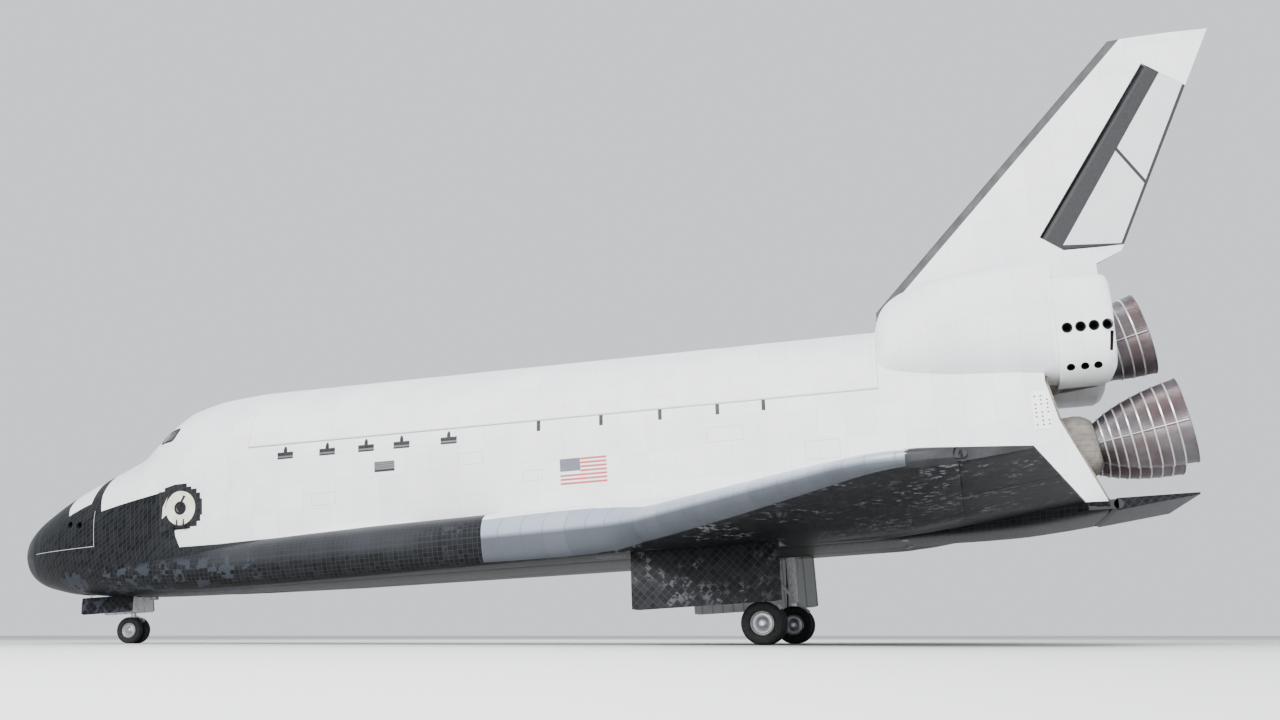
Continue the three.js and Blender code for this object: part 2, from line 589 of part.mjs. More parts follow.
// The panels' noses leave a wedge free in front, so that they pass each other as they open
const NOSE_WEDGE = { depth: 30, halfWidth: 32 };
const noseWedge = new THREE.Shape([
  new THREE.Vector2(0, 0),
  new THREE.Vector2(-NOSE_WEDGE.depth, NOSE_WEDGE.halfWidth),
  new THREE.Vector2(-NOSE_WEDGE.depth, -NOSE_WEDGE.halfWidth),
]);
const wedgeRoom = inFrame(rudderFrame, new THREE.ExtrudeGeometry(noseWedge, { depth: rudderLength, bevelEnabled: false }));
const rudderPanel = wholeFin
  .intersect(panelRegion)
  .subtract(shaftRoom)
  .subtract(wedgeRoom)
  .subtract(box(1400, 1800, -FAR, FAR, 400, RUDDER.foot + RUDDER.footGap))
  .intersect(box(1300, 1800, -60, -0.12, 400, 900));
pair('rudder_panel', rudderPanel, whiteTile);

// Wings: sections of an aerofoil at distances from the middle
const WING = [
  // y, leading edge, its height, underside, greatest height
  [70, 376, 297, 268, 320],
  [87, 424, 297, 267.5, 322],
  [105, 505, 297, 267, 324],
  [146.5, 762, 297, 267.5, 323],
  [188, 1024, 297, 268.5, 321],
  [224, 1060, 296, 271, 319.5],
  [312.5, 1148.5, 300, 281, 318.5],
  [411, 1247, 305.5, 293.5, 317.5],
  [447, 1283, 307, 297.5, 316.5],
  [460, 1303, 307.6, 299.5, 315.5],
  [466, 1322, 308, 302, 313.5],
  [468.3, 1345, 308.2, 304.5, 311.5],
];
const trailingX = (y) => 1525.24 - 0.17732 * y;
const trailingZ = (y) => 279.4 + 0.06116 * y;
const CHORD_SHARES = [0.004, 0.015, 0.04, 0.09, 0.18, 0.35, 0.6, 0.8];
const bulge = (share, span) => (share >= span ? 1 : Math.sqrt(1 - (1 - share / span) ** 3));

// Share of the chord where the underside starts to rise to the trailing edge
const riseStart = (y) => 0.8 - 0.2 * Math.min(1, Math.max(0, (y - 105) / 119));

function wingRing([y, frontX, frontZ, under, over]) {
  const chord = trailingX(y) - frontX;
  const edge = trailingZ(y);
  const upper = CHORD_SHARES.map((share) => {
    const fall = share > 0.35 ? ((share - 0.35) / 0.65) ** 1.15 : 0;
    return [share, frontZ + (over - frontZ) * bulge(share, 0.35) - fall * (over - edge - 1)];
  });
  const lower = CHORD_SHARES.map((share) => {
    const rise = Math.max(0, (share - riseStart(y)) / (1 - riseStart(y)));
    return [share, frontZ - (frontZ - under) * bulge(share, 0.15) + rise * (edge - 1 - under)];
  });
  const outline = [[0, frontZ], ...upper, [1, edge + 1], [1, edge - 1], ...lower.reverse()];
  return outline.map(([share, z]) => new THREE.Vector3(frontX + share * chord, -y, z));
}
const wholeWing = loft(WING.map(wingRing)).subtract(fuselage(300, TAIL_END, -SEAT));

// Leading edge of reinforced carbon: a strip behind the edge, from the glove to the tip
const CARBON = { start: 880, end: 1341 };
const carbonOutline = (grow) => [
  [CARBON.start - grow, -157.5 + 1.2 * grow],
  [1036 + grow, -180 + 1.2 * grow],
  [1303 + 1.5 * grow, -447],
  [1322 + 1.5 * grow, -459.5 + grow],
  [CARBON.end + grow, -463.5 + grow],
  [CARBON.end + grow, -500],
  [1240, -500],
  [CARBON.start - grow, -300],
];
const leadingEdge = wholeWing.intersect(prism('z', carbonOutline(0), 150, 400));

// Elevons: two on each wing, between lugs on one hinge line
const HINGE_IN = new THREE.Vector3(WING_HINGE_X, -133.8, 286.6);
const HINGE_OUT = new THREE.Vector3(WING_HINGE_X, -466.5, 307.4);
const hingeLength = HINGE_IN.distanceTo(HINGE_OUT);
const hingeAxis = HINGE_OUT.clone().sub(HINGE_IN).normalize();
const elevonFrame = new THREE.Matrix4().makeBasis(
  new THREE.Vector3(1, 0, 0), hingeAxis.clone().cross(new THREE.Vector3(1, 0, 0)), hingeAxis,
).setPosition(HINGE_IN);
const SPLIT = 179; // along the hinge, between the inboard and the outboard elevon
const LUG = 1.2;
const NOSE = { inner: 15.2, split: 11.4, outer: 7.4 }; // radius of the elevons' round noses
const noseAt = (along) => (along < SPLIT
  ? NOSE.inner + (along / SPLIT) * (NOSE.split - NOSE.inner)
  : NOSE.split + ((along - SPLIT) / (hingeLength - SPLIT)) * (NOSE.outer - NOSE.split));
const bayEnd = hingeLength + 10;
const elevonBay = joined([
  coneAlong(elevonFrame, NOSE.inner + CLEAR, NOSE.split + CLEAR, 0, SPLIT, 32),
  coneAlong(elevonFrame, NOSE.split + CLEAR, noseAt(bayEnd) + CLEAR, SPLIT, bayEnd, 32),
  slab(elevonFrame, -4, 200, 60, 0, bayEnd),
]);
function hingeLug(along) {
  return joined([
    coneAlong(elevonFrame, 3.6, 3.6, along, along + LUG, 16),
    slab(elevonFrame, -24, 0, 3.5, along, along + LUG),
  ]);
}
const ELEVONS = [
  // name, inner end, outer end
  ['inboard_elevon', CLEAR, SPLIT - LUG / 2 - CLEAR],
  ['outboard_elevon', SPLIT + LUG / 2 + CLEAR, hingeLength - LUG - CLEAR - 0.4],
];

// Main gear wells in the wing roots
const MAIN_WELL = { x0: 1042, x1: 1198, y0: -168, y1: -109, roof: 303.5 };
const mainWell = box(MAIN_WELL.x0, MAIN_WELL.x1, MAIN_WELL.y0, MAIN_WELL.y1, 150, MAIN_WELL.roof);

const wing = joined([
  wholeWing.subtract(prism('z', carbonOutline(SEAT), 150, 400)).subtract(elevonBay),
  hingeLug(SPLIT - LUG / 2),
  hingeLug(hingeLength - LUG - 0.4),
]).subtract(mainWell);
pair('wing', wing, blackTile);
pair('wing_leading_edge', leadingEdge, greyCarbon);
for (const [name, inner, outer] of ELEVONS) {
  const region = joined([
    coneAlong(elevonFrame, noseAt(inner), noseAt(outer), inner, outer, 32),
    slab(elevonFrame, 0, 200, 60, inner, outer),
  ]);
  const pin = coneAlong(elevonFrame, 2.5, 2.5, inner - CLEAR + SEAT, outer + CLEAR - SEAT, 16);
  const elevon = wholeWing.intersect(region).add(pin);
  pair(name, elevon, blackTile);
}

// Ground: the tyres' flats rest on the plane X sin(angle) + Z cos(angle) = ground
const MAIN_WHEEL = { x: 1172, y: -136, radius: 22.25, width: 16, apart: 27 };
const NOSE_WHEEL = { x: 377, y: 0, radius: 16, width: 8.8, apart: 17 };
const [tilt, level] = [Math.sin(PARKING_ANGLE), Math.cos(PARKING_ANGLE)];
const MAIN_TOUCHDOWN = 166; // height of the ground under the main wheels
const GROUND = MAIN_WHEEL.x * tilt + MAIN_TOUCHDOWN * level;
const flatRadius = (radius) => radius * Math.cos(Math.PI / TYRE_SIDES);
const axleHeight = ({ x, radius }) => (GROUND + flatRadius(radius) - x * tilt) / level;

// Tyre and hub profiles as shares of the radius and half width
const TYRE_PROFILE = [
  // share of the half width, share of the radius
  [-0.62, 0.56],
  [-0.95, 0.66],
  [-1, 0.8],
  [-0.8, 0.95],
  [-0.45, 1],
  [0.45, 1],
  [0.8, 0.95],
  [1, 0.8],
  [0.95, 0.66],
  [0.62, 0.56],
  [-0.62, 0.56],
];
function wheelRing(profile, x, y, height) {
  const ring = new THREE.LatheGeometry(profile.map(([side, r]) => new THREE.Vector2(r, side)), TYRE_SIDES);
  ring.rotateY(Math.PI / TYRE_SIDES + PARKING_ANGLE);
  ring.translate(x, y, height);
  return solidOf(ring);
}
function tyre({ x, radius, width }, y, height) {
  return wheelRing(TYRE_PROFILE.map(([side, share]) => [side * width / 2, share * radius]), x, y, height);
}
function hub({ x, radius, width }, y, height, axleRadius) {
  const r = radius * 0.56 - 2 * SEAT;
  const half = width / 2;
  const profile = [
    [-half * 0.7, axleRadius], [-half * 0.7, r * 0.45], [-half * 0.25, r * 0.6], [-half * 0.62, r],
    [half * 0.62, r], [half * 0.25, r * 0.6], [half * 0.7, r * 0.45], [half * 0.7, axleRadius],
    [-half * 0.7, axleRadius],
  ];
  return wheelRing(profile, x, y, height);
}

// Nose gear: strut in the well, steered piston with the axle, twin wheels
const noseAxle = axleHeight(NOSE_WHEEL);
const STEER = { collar: noseAxle + 21 };
const noseLeg = joined([
  rod([NOSE_WHEEL.x, 0, STEER.collar], [NOSE_WHEEL.x, 0, NOSE_WELL.roof - 8], 4.6),
  rod([NOSE_WHEEL.x, 0, STEER.collar], [NOSE_WHEEL.x, 0, STEER.collar + 4], 5.6),
  rod([NOSE_WHEEL.x, -NOSE_WELL.halfWidth + SEAT, NOSE_WELL.roof - 10],
    [NOSE_WHEEL.x, NOSE_WELL.halfWidth - SEAT, NOSE_WELL.roof - 10], 3),
  rod([NOSE_WHEEL.x, -3, STEER.collar + 8], [NOSE_WELL.x0 + 14, -3, NOSE_WELL.roof - 8], 1.6, 1.6, 12),
  rod([NOSE_WHEEL.x, 3, STEER.collar + 8], [NOSE_WELL.x0 + 14, 3, NOSE_WELL.roof - 8], 1.6, 1.6, 12),
  rod([NOSE_WELL.x0 + 14, -NOSE_WELL.halfWidth + SEAT, NOSE_WELL.roof - 8],
    [NOSE_WELL.x0 + 14, NOSE_WELL.halfWidth - SEAT, NOSE_WELL.roof - 8], 2.2, 2.2, 12),
]);
piece('nose_gear_leg', noseLeg, whitePaint);
const noseWidth = NOSE_WHEEL.apart + NOSE_WHEEL.width;
const noseFork = joined([
  rod([NOSE_WHEEL.x, 0, noseAxle], [NOSE_WHEEL.x, 0, STEER.collar - SEAT], 3.2),
  rod([NOSE_WHEEL.x, -noseWidth / 2 + 1, noseAxle], [NOSE_WHEEL.x, noseWidth / 2 - 1, noseAxle], 1.9),
  rod([NOSE_WHEEL.x, -1.6, noseAxle], [NOSE_WHEEL.x, 1.6, noseAxle], 3.9),
  prism('y', [[NOSE_WHEEL.x + 2, noseAxle - 2], [NOSE_WHEEL.x + 2, noseAxle + 2], [NOSE_WHEEL.x + 12, noseAxle + 11],
    [NOSE_WHEEL.x + 2, noseAxle + 19], [NOSE_WHEEL.x + 2, noseAxle + 20.6], [NOSE_WHEEL.x + 15, noseAxle + 11]],
  -1.2, 1.2),
]);
piece('nose_gear_fork', noseFork, steel);
const wheelBore = 1.9 / Math.cos(Math.PI / TYRE_SIDES) + 0.02;
for (const [side, sign] of [['left', -1], ['right', 1]]) {
  piece(`nose_hub_${side}`, hub(NOSE_WHEEL, sign * NOSE_WHEEL.apart / 2, noseAxle, wheelBore), steel);
  piece(`nose_tyre_${side}`, tyre(NOSE_WHEEL, sign * NOSE_WHEEL.apart / 2, noseAxle), rubber);
}

// Main gear: strut, drag brace and trunnion in the well, twin wheels on a fixed axle
const mainAxle = axleHeight(MAIN_WHEEL);
const mainWidth = MAIN_WHEEL.apart + MAIN_WHEEL.width;
const { x: mainX, y: mainY } = MAIN_WHEEL;
const legTop = MAIN_WELL.roof - 3.5;
const trunnionHeight = MAIN_WELL.roof - 5.5;
const mainLeg = joined([
  rod([mainX, mainY, mainAxle + 26], [mainX, mainY, legTop], 5.6),
  rod([mainX, mainY, mainAxle], [mainX, mainY, mainAxle + 27], 4.1),
  rod([mainX, MAIN_WELL.y0 + SEAT, trunnionHeight], [mainX, MAIN_WELL.y1 - SEAT, trunnionHeight], 4.2),
  rod([mainX, mainY - 3, mainAxle + 32], [mainX - 60, mainY - 3, legTop], 2.2, 2.2, 12),
  rod([mainX, mainY + 3, mainAxle + 32], [mainX - 60, mainY + 3, legTop], 2.2, 2.2, 12),
  rod([mainX - 60, MAIN_WELL.y0 + SEAT, legTop], [mainX - 60, MAIN_WELL.y1 - SEAT, legTop], 2.8, 2.8, 12),
  rod([mainX, mainY - mainWidth / 2 + 2, mainAxle], [mainX, mainY + mainWidth / 2 - 2, mainAxle], 2.6),
  prism('y', [[mainX + 3, mainAxle - 2], [mainX + 3, mainAxle + 3], [mainX + 15, mainAxle + 15],
    [mainX + 3, mainAxle + 27], [mainX + 3, mainAxle + 30], [mainX + 19, mainAxle + 15]], mainY - 1.5, mainY + 1.5),
]);
pair('main_gear_leg', mainLeg, whitePaint);
const mainBore = 2.6 / Math.cos(Math.PI / TYRE_SIDES) + 0.02;
for (const [side, sign] of [['left', 1], ['right', -1]]) {
  for (const [place, shift] of [['outer', -1], ['inner', 1]]) {
    const y = sign * (mainY + shift * MAIN_WHEEL.apart / 2);
    piece(`main_hub_${side}_${place}`, hub(MAIN_WHEEL, y, mainAxle, mainBore), steel);
    piece(`main_tyre_${side}_${place}`, tyre(MAIN_WHEEL, y, mainAxle), rubber);
  }
}

// Gear doors hang open on the outer edges of their wells
const NOSE_DOOR = { top: 272.2, drop: 20, thickness: 1.6, out: 0.9, lean: 2.7 };
const noseDoorTop = -NOSE_WELL.halfWidth - NOSE_DOOR.out;
const noseDoorFoot = noseDoorTop - NOSE_DOOR.lean;
const noseDoor = prism('x', [
  [noseDoorTop - NOSE_DOOR.thickness, NOSE_DOOR.top],
  [noseDoorTop, NOSE_DOOR.top],
  [noseDoorFoot, NOSE_DOOR.top - NOSE_DOOR.drop],
  [noseDoorFoot - NOSE_DOOR.thickness, NOSE_DOOR.top - NOSE_DOOR.drop],
], NOSE_WELL.x0 + 4, NOSE_WELL.x1 - 2);
pair('nose_gear_door', noseDoor.subtract(fuselage(262, 560, -SEAT)), blackTile);
const MAIN_DOOR = { top: 268.6, drop: 60, thickness: 2.4, lean: 9 };
const mainDoor = prism('x', [
  [MAIN_WELL.y0 - 0.5, MAIN_DOOR.top], [MAIN_WELL.y0 - 0.5 - MAIN_DOOR.thickness, MAIN_DOOR.top],
  [MAIN_WELL.y0 - MAIN_DOOR.lean - MAIN_DOOR.thickness, MAIN_DOOR.top - MAIN_DOOR.drop],
  [MAIN_WELL.y0 - MAIN_DOOR.lean, MAIN_DOOR.top - MAIN_DOOR.drop],
], MAIN_WELL.x0 + 1, MAIN_WELL.x1 - 1);
const wingGap = loft(WING.map(([y, x, z, under, over]) => wingRing([y, x, z, under - SEAT, over]))).subtract(mainWell);
pair('main_gear_door', mainDoor.subtract(wingGap), blackTile);

// Park the orbiter: millimetres, nose down, tyres on z = 0, its box centred over the origin
shuttle.scale.setScalar(MILLIMETRES);
shuttle.rotation.y = -PARKING_ANGLE;
shuttle.updateMatrixWorld(true);
const extent = new THREE.Box3().setFromObject(shuttle, true);
shuttle.position.set(-(extent.min.x + extent.max.x) / 2, 0, -GROUND * MILLIMETRES);
shuttle.updateMatrixWorld(true);

export default shuttle;
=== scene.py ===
# A winged space shuttle orbiter, parked on its landing gear.
# Shapes are worked out in inches at the orbiter's own stations (X aft, Y to starboard, Z up),
# and station() places them in metres in the shared frame, tipped nose down as it parks.
import json
import math

import bmesh
import bpy
import numpy as np
from mathutils import Matrix, Vector

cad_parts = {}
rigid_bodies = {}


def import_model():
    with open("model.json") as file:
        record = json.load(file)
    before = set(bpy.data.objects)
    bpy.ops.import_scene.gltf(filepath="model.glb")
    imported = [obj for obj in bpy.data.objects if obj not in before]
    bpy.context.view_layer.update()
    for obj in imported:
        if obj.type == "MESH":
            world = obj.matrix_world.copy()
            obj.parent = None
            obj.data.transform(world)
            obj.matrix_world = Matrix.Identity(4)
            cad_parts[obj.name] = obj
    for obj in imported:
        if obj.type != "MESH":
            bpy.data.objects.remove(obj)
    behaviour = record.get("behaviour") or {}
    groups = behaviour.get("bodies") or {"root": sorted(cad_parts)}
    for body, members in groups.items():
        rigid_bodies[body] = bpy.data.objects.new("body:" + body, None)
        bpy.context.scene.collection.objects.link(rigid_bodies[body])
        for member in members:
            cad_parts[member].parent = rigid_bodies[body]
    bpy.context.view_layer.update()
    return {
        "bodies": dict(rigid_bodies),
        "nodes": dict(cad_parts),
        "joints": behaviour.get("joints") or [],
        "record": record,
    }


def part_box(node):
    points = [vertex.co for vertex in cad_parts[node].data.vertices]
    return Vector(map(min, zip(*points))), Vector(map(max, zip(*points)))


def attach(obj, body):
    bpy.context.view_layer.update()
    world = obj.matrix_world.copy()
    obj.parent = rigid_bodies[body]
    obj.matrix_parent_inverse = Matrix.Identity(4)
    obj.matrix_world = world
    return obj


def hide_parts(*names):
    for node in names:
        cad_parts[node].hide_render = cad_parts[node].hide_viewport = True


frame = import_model()

# Camera
# It keeps the photograph's place over the ground and its heading, and stands at floor level,
# because the photograph looks up from below. The lens is longer, so the orbiter fills the frame.
INCH = 0.0254
PARKED = math.radians(3.5)
MAIN_WHEEL = {"x": 1172, "y": 136, "radius": 22.25, "width": 16, "apart": 27, "touchdown": 166}
TYRE_SIDES = 20
tilt, level = math.sin(PARKED), math.cos(PARKED)
GROUND = MAIN_WHEEL["x"] * tilt + MAIN_WHEEL["touchdown"] * level


def axle_height(x, radius):
    return (GROUND + radius * math.cos(math.pi / TYRE_SIDES) - x * tilt) / level


main_axle = axle_height(MAIN_WHEEL["x"], MAIN_WHEEL["radius"])
tyre_low, tyre_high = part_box("main_tyre_left_outer")
origin_x = (tyre_low[0] + tyre_high[0]) / 2 - INCH * (MAIN_WHEEL["x"] * level - main_axle * tilt)
PLACE = (Matrix.Translation((origin_x, 0, -GROUND * INCH)) @ Matrix.Rotation(-PARKED, 4, "Y")
         @ Matrix.Scale(INCH, 4))


def station(x, y, z):
    return PLACE @ Vector((x, y, z))


VIEWER = {"x": 1393.4, "y": -1707.2, "height": 0.25, "heading": 12.4, "climb": 10.3, "lens": 42.6}
viewer = bpy.data.cameras.new("viewer")
viewer.lens = VIEWER["lens"]
viewer.sensor_width = 36
viewer.clip_end = 2000
viewer_object = bpy.data.objects.new("viewer", viewer)
bpy.context.scene.collection.objects.link(viewer_object)
stand = station(VIEWER["x"], VIEWER["y"], 300)
viewer_object.location = (stand.x, stand.y, VIEWER["height"])
viewer_object.rotation_euler = (math.radians(90 + VIEWER["climb"]), 0, math.radians(VIEWER["heading"]))
bpy.context.scene.camera = viewer_object

# Floor and lights
# A wide pale floor, a pale surround, and four large soft lamps: one high beside the camera,
# one over the far side, one behind the tail, and a low one that reaches under the belly.
FLOOR_HALF = 700


def fresh_finish(name, color=(0.8, 0.8, 0.8), roughness=0.5, metallic=0.0, **extra):
    finish = bpy.data.materials.new(name)
    finish.use_nodes = True
    shader = finish.node_tree.nodes["Principled BSDF"]
    shader.inputs["Base Color"].default_value = (*color, 1)
    shader.inputs["Roughness"].default_value = roughness
    shader.inputs["Metallic"].default_value = metallic
    for socket, value in extra.items():
        shader.inputs[socket.replace("_", " ")].default_value = value
    return finish, shader


floor_finish, _ = fresh_finish("pale_floor", (0.62, 0.62, 0.61), 0.7)
floor_mesh = bpy.data.meshes.new("floor")
floor_mesh.from_pydata([(-FLOOR_HALF, -FLOOR_HALF, 0), (FLOOR_HALF, -FLOOR_HALF, 0),
                        (FLOOR_HALF, FLOOR_HALF, 0), (-FLOOR_HALF, FLOOR_HALF, 0)], [], [(0, 1, 2, 3)])
floor_mesh.materials.append(floor_finish)
floor = bpy.data.objects.new("floor", floor_mesh)
bpy.context.scene.collection.objects.link(floor)

surround = bpy.data.worlds.new("pale_surround")
surround.use_nodes = True
surround.node_tree.nodes["Background"].inputs["Color"].default_value = (0.86, 0.9, 0.96, 1)
surround.node_tree.nodes["Background"].inputs["Strength"].default_value = 0.85
bpy.context.scene.world = surround
bpy.context.scene.view_settings.look = "AgX - Medium High Contrast"

LAMPS = [
    # name, place, target, size, watts
    ("key_lamp", (-4, -42, 36), (0, 0, 5), 22, 30000),
    ("far_lamp", (-10, 40, 30), (0, 0, 5), 30, 9000),
    ("tail_lamp", (48, -14, 22), (8, 0, 6), 18, 7000),
    ("low_lamp", (6, -46, 9), (0, 0, 3), 12, 2600),
]
for name, place, target, size, watts in LAMPS:
    lamp = bpy.data.lights.new(name, "AREA")
    lamp.size = size
    lamp.energy = watts
    lamp_object = bpy.data.objects.new(name, lamp)
    lamp_object.location = place
    aim = Vector(target) - Vector(place)
    lamp_object.rotation_euler = aim.to_track_quat("-Z", "Y").to_euler()
    bpy.context.scene.collection.objects.link(lamp_object)

# Nose cap
# The tip of the nose is one dome of reinforced carbon, satin dark grey and weathered.
# It is moulded in one piece and bolted to the forward fuselage along a fine circular joint.
FUSELAGE = [
    # station, bottom, widest height, top, half width, lower power, upper power
    (235.0, 329, 330, 331, 1, 2, 2),
    (236.5, 318, 330, 341, 10, 2, 2),
    (240, 309, 330, 349, 16, 2, 2),
    (246, 301, 330, 357, 23, 2, 2),
    (254, 295, 331, 364, 30, 2.1, 2),
    (266, 289, 332, 373, 38, 2.2, 2),
    (282, 284, 334, 382, 48, 2.3, 2),
    (302, 279, 337, 393, 58, 2.4, 2),
    (325, 275.5, 341, 404, 67, 2.5, 2),
    (350, 272.5, 346, 414, 75, 2.7, 2),
    (378, 270.5, 353, 424.5, 82, 3, 2),
    (400, 269.4, 360, 433, 87, 3.2, 2),
    (422, 268.5, 367, 443, 91, 3.4, 2),
    (444, 267.9, 374, 465, 94, 3.7, 2),
    (464, 267.5, 379, 482, 96.5, 4, 2.05),
    (484, 267.2, 384, 492.5, 99, 4.4, 2.1),
    (510, 267, 390, 499, 101.5, 5, 2.1),
    (545, 267, 396, 503, 103.8, 6, 2.05),
    (576, 267, 400, 505, 105, 7, 2),
    (1307, 267, 400, 505, 105, 8, 2),
    (1345, 267, 380, 505, 107.5, 8, 2),
    (1390, 267, 350, 505, 113, 8, 2),
    (1440, 268, 325, 503, 120, 8, 2.1),
    (1490, 272, 310, 498, 127, 8, 2.2),
    (1528.6, 276.5, 300, 492, 132, 8, 2.3),
]
NOSE_TIP = FUSELAGE[0][0]
section_table = np.array(FUSELAGE)
section_run = np.sqrt(section_table[:, 0] - NOSE_TIP)


def eased(run, column, where):
    """Smooth curve through a column of the table that never overshoots its rows."""
    steps = np.diff(run)
    slopes = np.diff(column) / steps
    tangents = np.zeros(len(run))
    for i in range(1, len(run) - 1):
        if slopes[i - 1] * slopes[i] > 0:
            before, after = 2 * steps[i] + steps[i - 1], steps[i] + 2 * steps[i - 1]
            tangents[i] = (before + after) / (before / slopes[i - 1] + after / slopes[i])
    tangents[0], tangents[-1] = slopes[0], slopes[-1]
    i = int(np.clip(np.searchsorted(run, where) - 1, 0, len(run) - 2))
    t = (where - run[i]) / steps[i]
    return ((2 * t ** 3 - 3 * t ** 2 + 1) * column[i] + (t ** 3 - 2 * t ** 2 + t) * steps[i] * tangents[i]
            + (3 * t ** 2 - 2 * t ** 3) * column[i + 1] + (t ** 3 - t ** 2) * steps[i] * tangents[i + 1])


def section_at(x):
    run = math.sqrt(max(x - NOSE_TIP, 0))
    return [eased(section_run, section_table[:, column], run) for column in range(1, 7)]


def even_arc(points, count):
    """Points spaced evenly along a fine line of points."""
    line = np.array(points)
    lengths = np.concatenate([[0], np.cumsum(np.linalg.norm(np.diff(line, axis=0), axis=1))])
    marks = np.linspace(0, lengths[-1], count + 1)
    return np.column_stack([np.interp(marks, lengths, line[:, k]) for k in range(2)])


def body_ring(x, inset=0.0, quarter=24):
    """Section of the fuselage as [y, z] points: keel, port side, crown, starboard side."""
    bottom, widest, top, half_width, lower, upper = section_at(x)
    turns = np.linspace(0, math.pi / 2, 90)
    width = half_width - inset
    low = [(-width * math.sin(a) ** (2 / lower),
            widest - (widest - bottom - inset) * math.cos(a) ** (2 / lower)) for a in turns]
    high = [(-width * math.cos(a) ** (2 / upper),
             widest + (top - widest - inset) * math.sin(a) ** (2 / upper)) for a in turns]
    port = np.vstack([even_arc(low, quarter)[:-1], even_arc(high, quarter)])
    starboard = port[::-1][1:-1] * [-1, 1]
    return np.vstack([port, starboard])


def lengths_round(ring):
    """Length along a ring from its crown, so tiles match on both sides."""
    loop = np.vstack([ring, ring[:1]])
    lengths = np.concatenate([[0], np.cumsum(np.linalg.norm(np.diff(loop, axis=0), axis=1))])
    return lengths - lengths[len(ring) // 2]


def ring_loft(xs, ring_of):
    """Closed skin through rings; returns points, faces and tile places for each face corner."""
    rings = [ring_of(x) for x in xs]
    count = len(rings[0])
    points = [(x, y, z) for x, ring in zip(xs, rings) for y, z in ring]
    rounds = [lengths_round(ring) for ring in rings]
    faces, places = [], []
    for r in range(len(xs) - 1):
        for i in range(count):
            j = (i + 1) % count
            faces.append((r * count + i, r * count + j, (r + 1) * count + j, (r + 1) * count + i))
            places.append([(xs[r], rounds[r][i]), (xs[r], rounds[r][i + 1]),
                           (xs[r + 1], rounds[r + 1][i + 1]), (xs[r + 1], rounds[r + 1][i])])
    last = (len(xs) - 1) * count
    ends = [tuple(range(count - 1, -1, -1)), tuple(range(last, last + count))]
    for face in ends:
        faces.append(face)
        places.append([(points[v][1], points[v][2]) for v in face])
    return points, faces, places


def mesh_of(name, shape):
    """Mesh in the shared frame whose faces all look outward, with tile places where they are given."""
    points, faces, *places = shape
    mesh = bpy.data.meshes.new(name)
    mesh.from_pydata([station(*point) for point in points], [], faces)
    if places:
        layer = mesh.uv_layers.new(name="tiles")
        layer.data.foreach_set("uv", [value for face in places[0] for corner in face for value in corner])
    mesh.validate()
    work = bmesh.new()
    work.from_mesh(mesh)
    bmesh.ops.recalc_face_normals(work, faces=work.faces)
    work.to_mesh(mesh)
    work.free()
    return mesh


SHARP = 38


def piece(name, shape, finishes, body, slot, *nodes, angle=SHARP):
    """Makes a mesh piece from points and faces, with its finish, body and CAD nodes; the slot is not used."""
    mesh = mesh_of(name, shape)
    mesh.shade_smooth()
    mesh.set_sharp_from_angle(angle=math.radians(angle))
    for finish in finishes if isinstance(finishes, list) else [finishes]:
        mesh.materials.append(finish)
    made = bpy.data.objects.new(name, mesh)
    bpy.context.scene.collection.objects.link(made)
    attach(made, body)
    if nodes:
        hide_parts(*nodes)
    return made


def feed(socket, value):
    if isinstance(value, Varying):
        socket.id_data.links.new(value.socket, socket)
    else:
        socket.default_value = (*value, 1) if socket.type == "RGBA" else value


class Varying:
    """A value that varies over a surface; arithmetic on it builds the finish's nodes."""

    def __init__(self, socket):
        self.socket = socket

    def __add__(self, other):
        return calc("ADD", self, other)

    def __sub__(self, other):
        return calc("SUBTRACT", self, other)

    def __rsub__(self, other):
        return calc("SUBTRACT", other, self)

    def __mul__(self, other):
        return calc("MULTIPLY", self, other)

    def __truediv__(self, other):
        return calc("DIVIDE", self, other)

    def __lt__(self, other):
        return calc("LESS_THAN", self, other)

    def __gt__(self, other):
        return calc("GREATER_THAN", self, other)

    def __neg__(self):
        return calc("MULTIPLY", self, -1)

    def __abs__(self):
        return calc("ABSOLUTE", self)


def new_node(near, kind, **settings):
    """A node in the finish that a surface value or a shader belongs to."""
    owner = near.socket if isinstance(near, Varying) else near
    node = owner.id_data.nodes.new("ShaderNode" + kind)
    for setting, value in settings.items():
        setattr(node, setting, value)
    return node


def calc(operation, *values):
    near = next(value for value in values if isinstance(value, Varying))
    node = new_node(near, "Math", operation=operation)
    for socket, value in zip(node.inputs, values):
        feed(socket, value)
    return Varying(node.outputs[0])


def mixed(factor, first, second):
    node = new_node(factor, "Mix", data_type="RGBA")
    for place, value in ((0, factor), (6, first), (7, second)):
        feed(node.inputs[place], value)
    return Varying(node.outputs[2])


def spread(value, low, high, start=0.0, end=1.0):
    """Maps a value between low and high to start and end."""
    node = new_node(value, "MapRange")
    for socket, number in zip(node.inputs, (value, low, high, start, end)):
        feed(socket, number)
    return Varying(node.outputs[0])


def station_place(shader):
    """Station coordinates of the surface, in inches, from its place in the shared frame."""
    turn = new_node(shader, "Mapping", vector_type="TEXTURE")
    turn.inputs["Location"].default_value = PLACE.to_translation()
    turn.inputs["Rotation"].default_value = (0, -PARKED, 0)
    turn.inputs["Scale"].default_value = (INCH, INCH, INCH)
    feed(turn.inputs["Vector"], Varying(new_node(shader, "TexCoord").outputs["Object"]))
    return Varying(turn.outputs[0])


def cloudy(where, scale, detail=3.0):
    node = new_node(where, "TexNoise")
    for name, value in (("Vector", where), ("Scale", scale), ("Detail", detail), ("Roughness", 0.55)):
        feed(node.inputs[name], value)
    return Varying(node.outputs[0])


def coloured(shader, value):
    feed(shader.inputs["Base Color"], value)


def raised(shader, height, distance, strength=0.6):
    node = new_node(shader, "Bump")
    for name, value in (("Distance", distance), ("Strength", strength), ("Height", height)):
        feed(node.inputs[name], value)
    feed(shader.inputs["Normal"], Varying(node.outputs[0]))


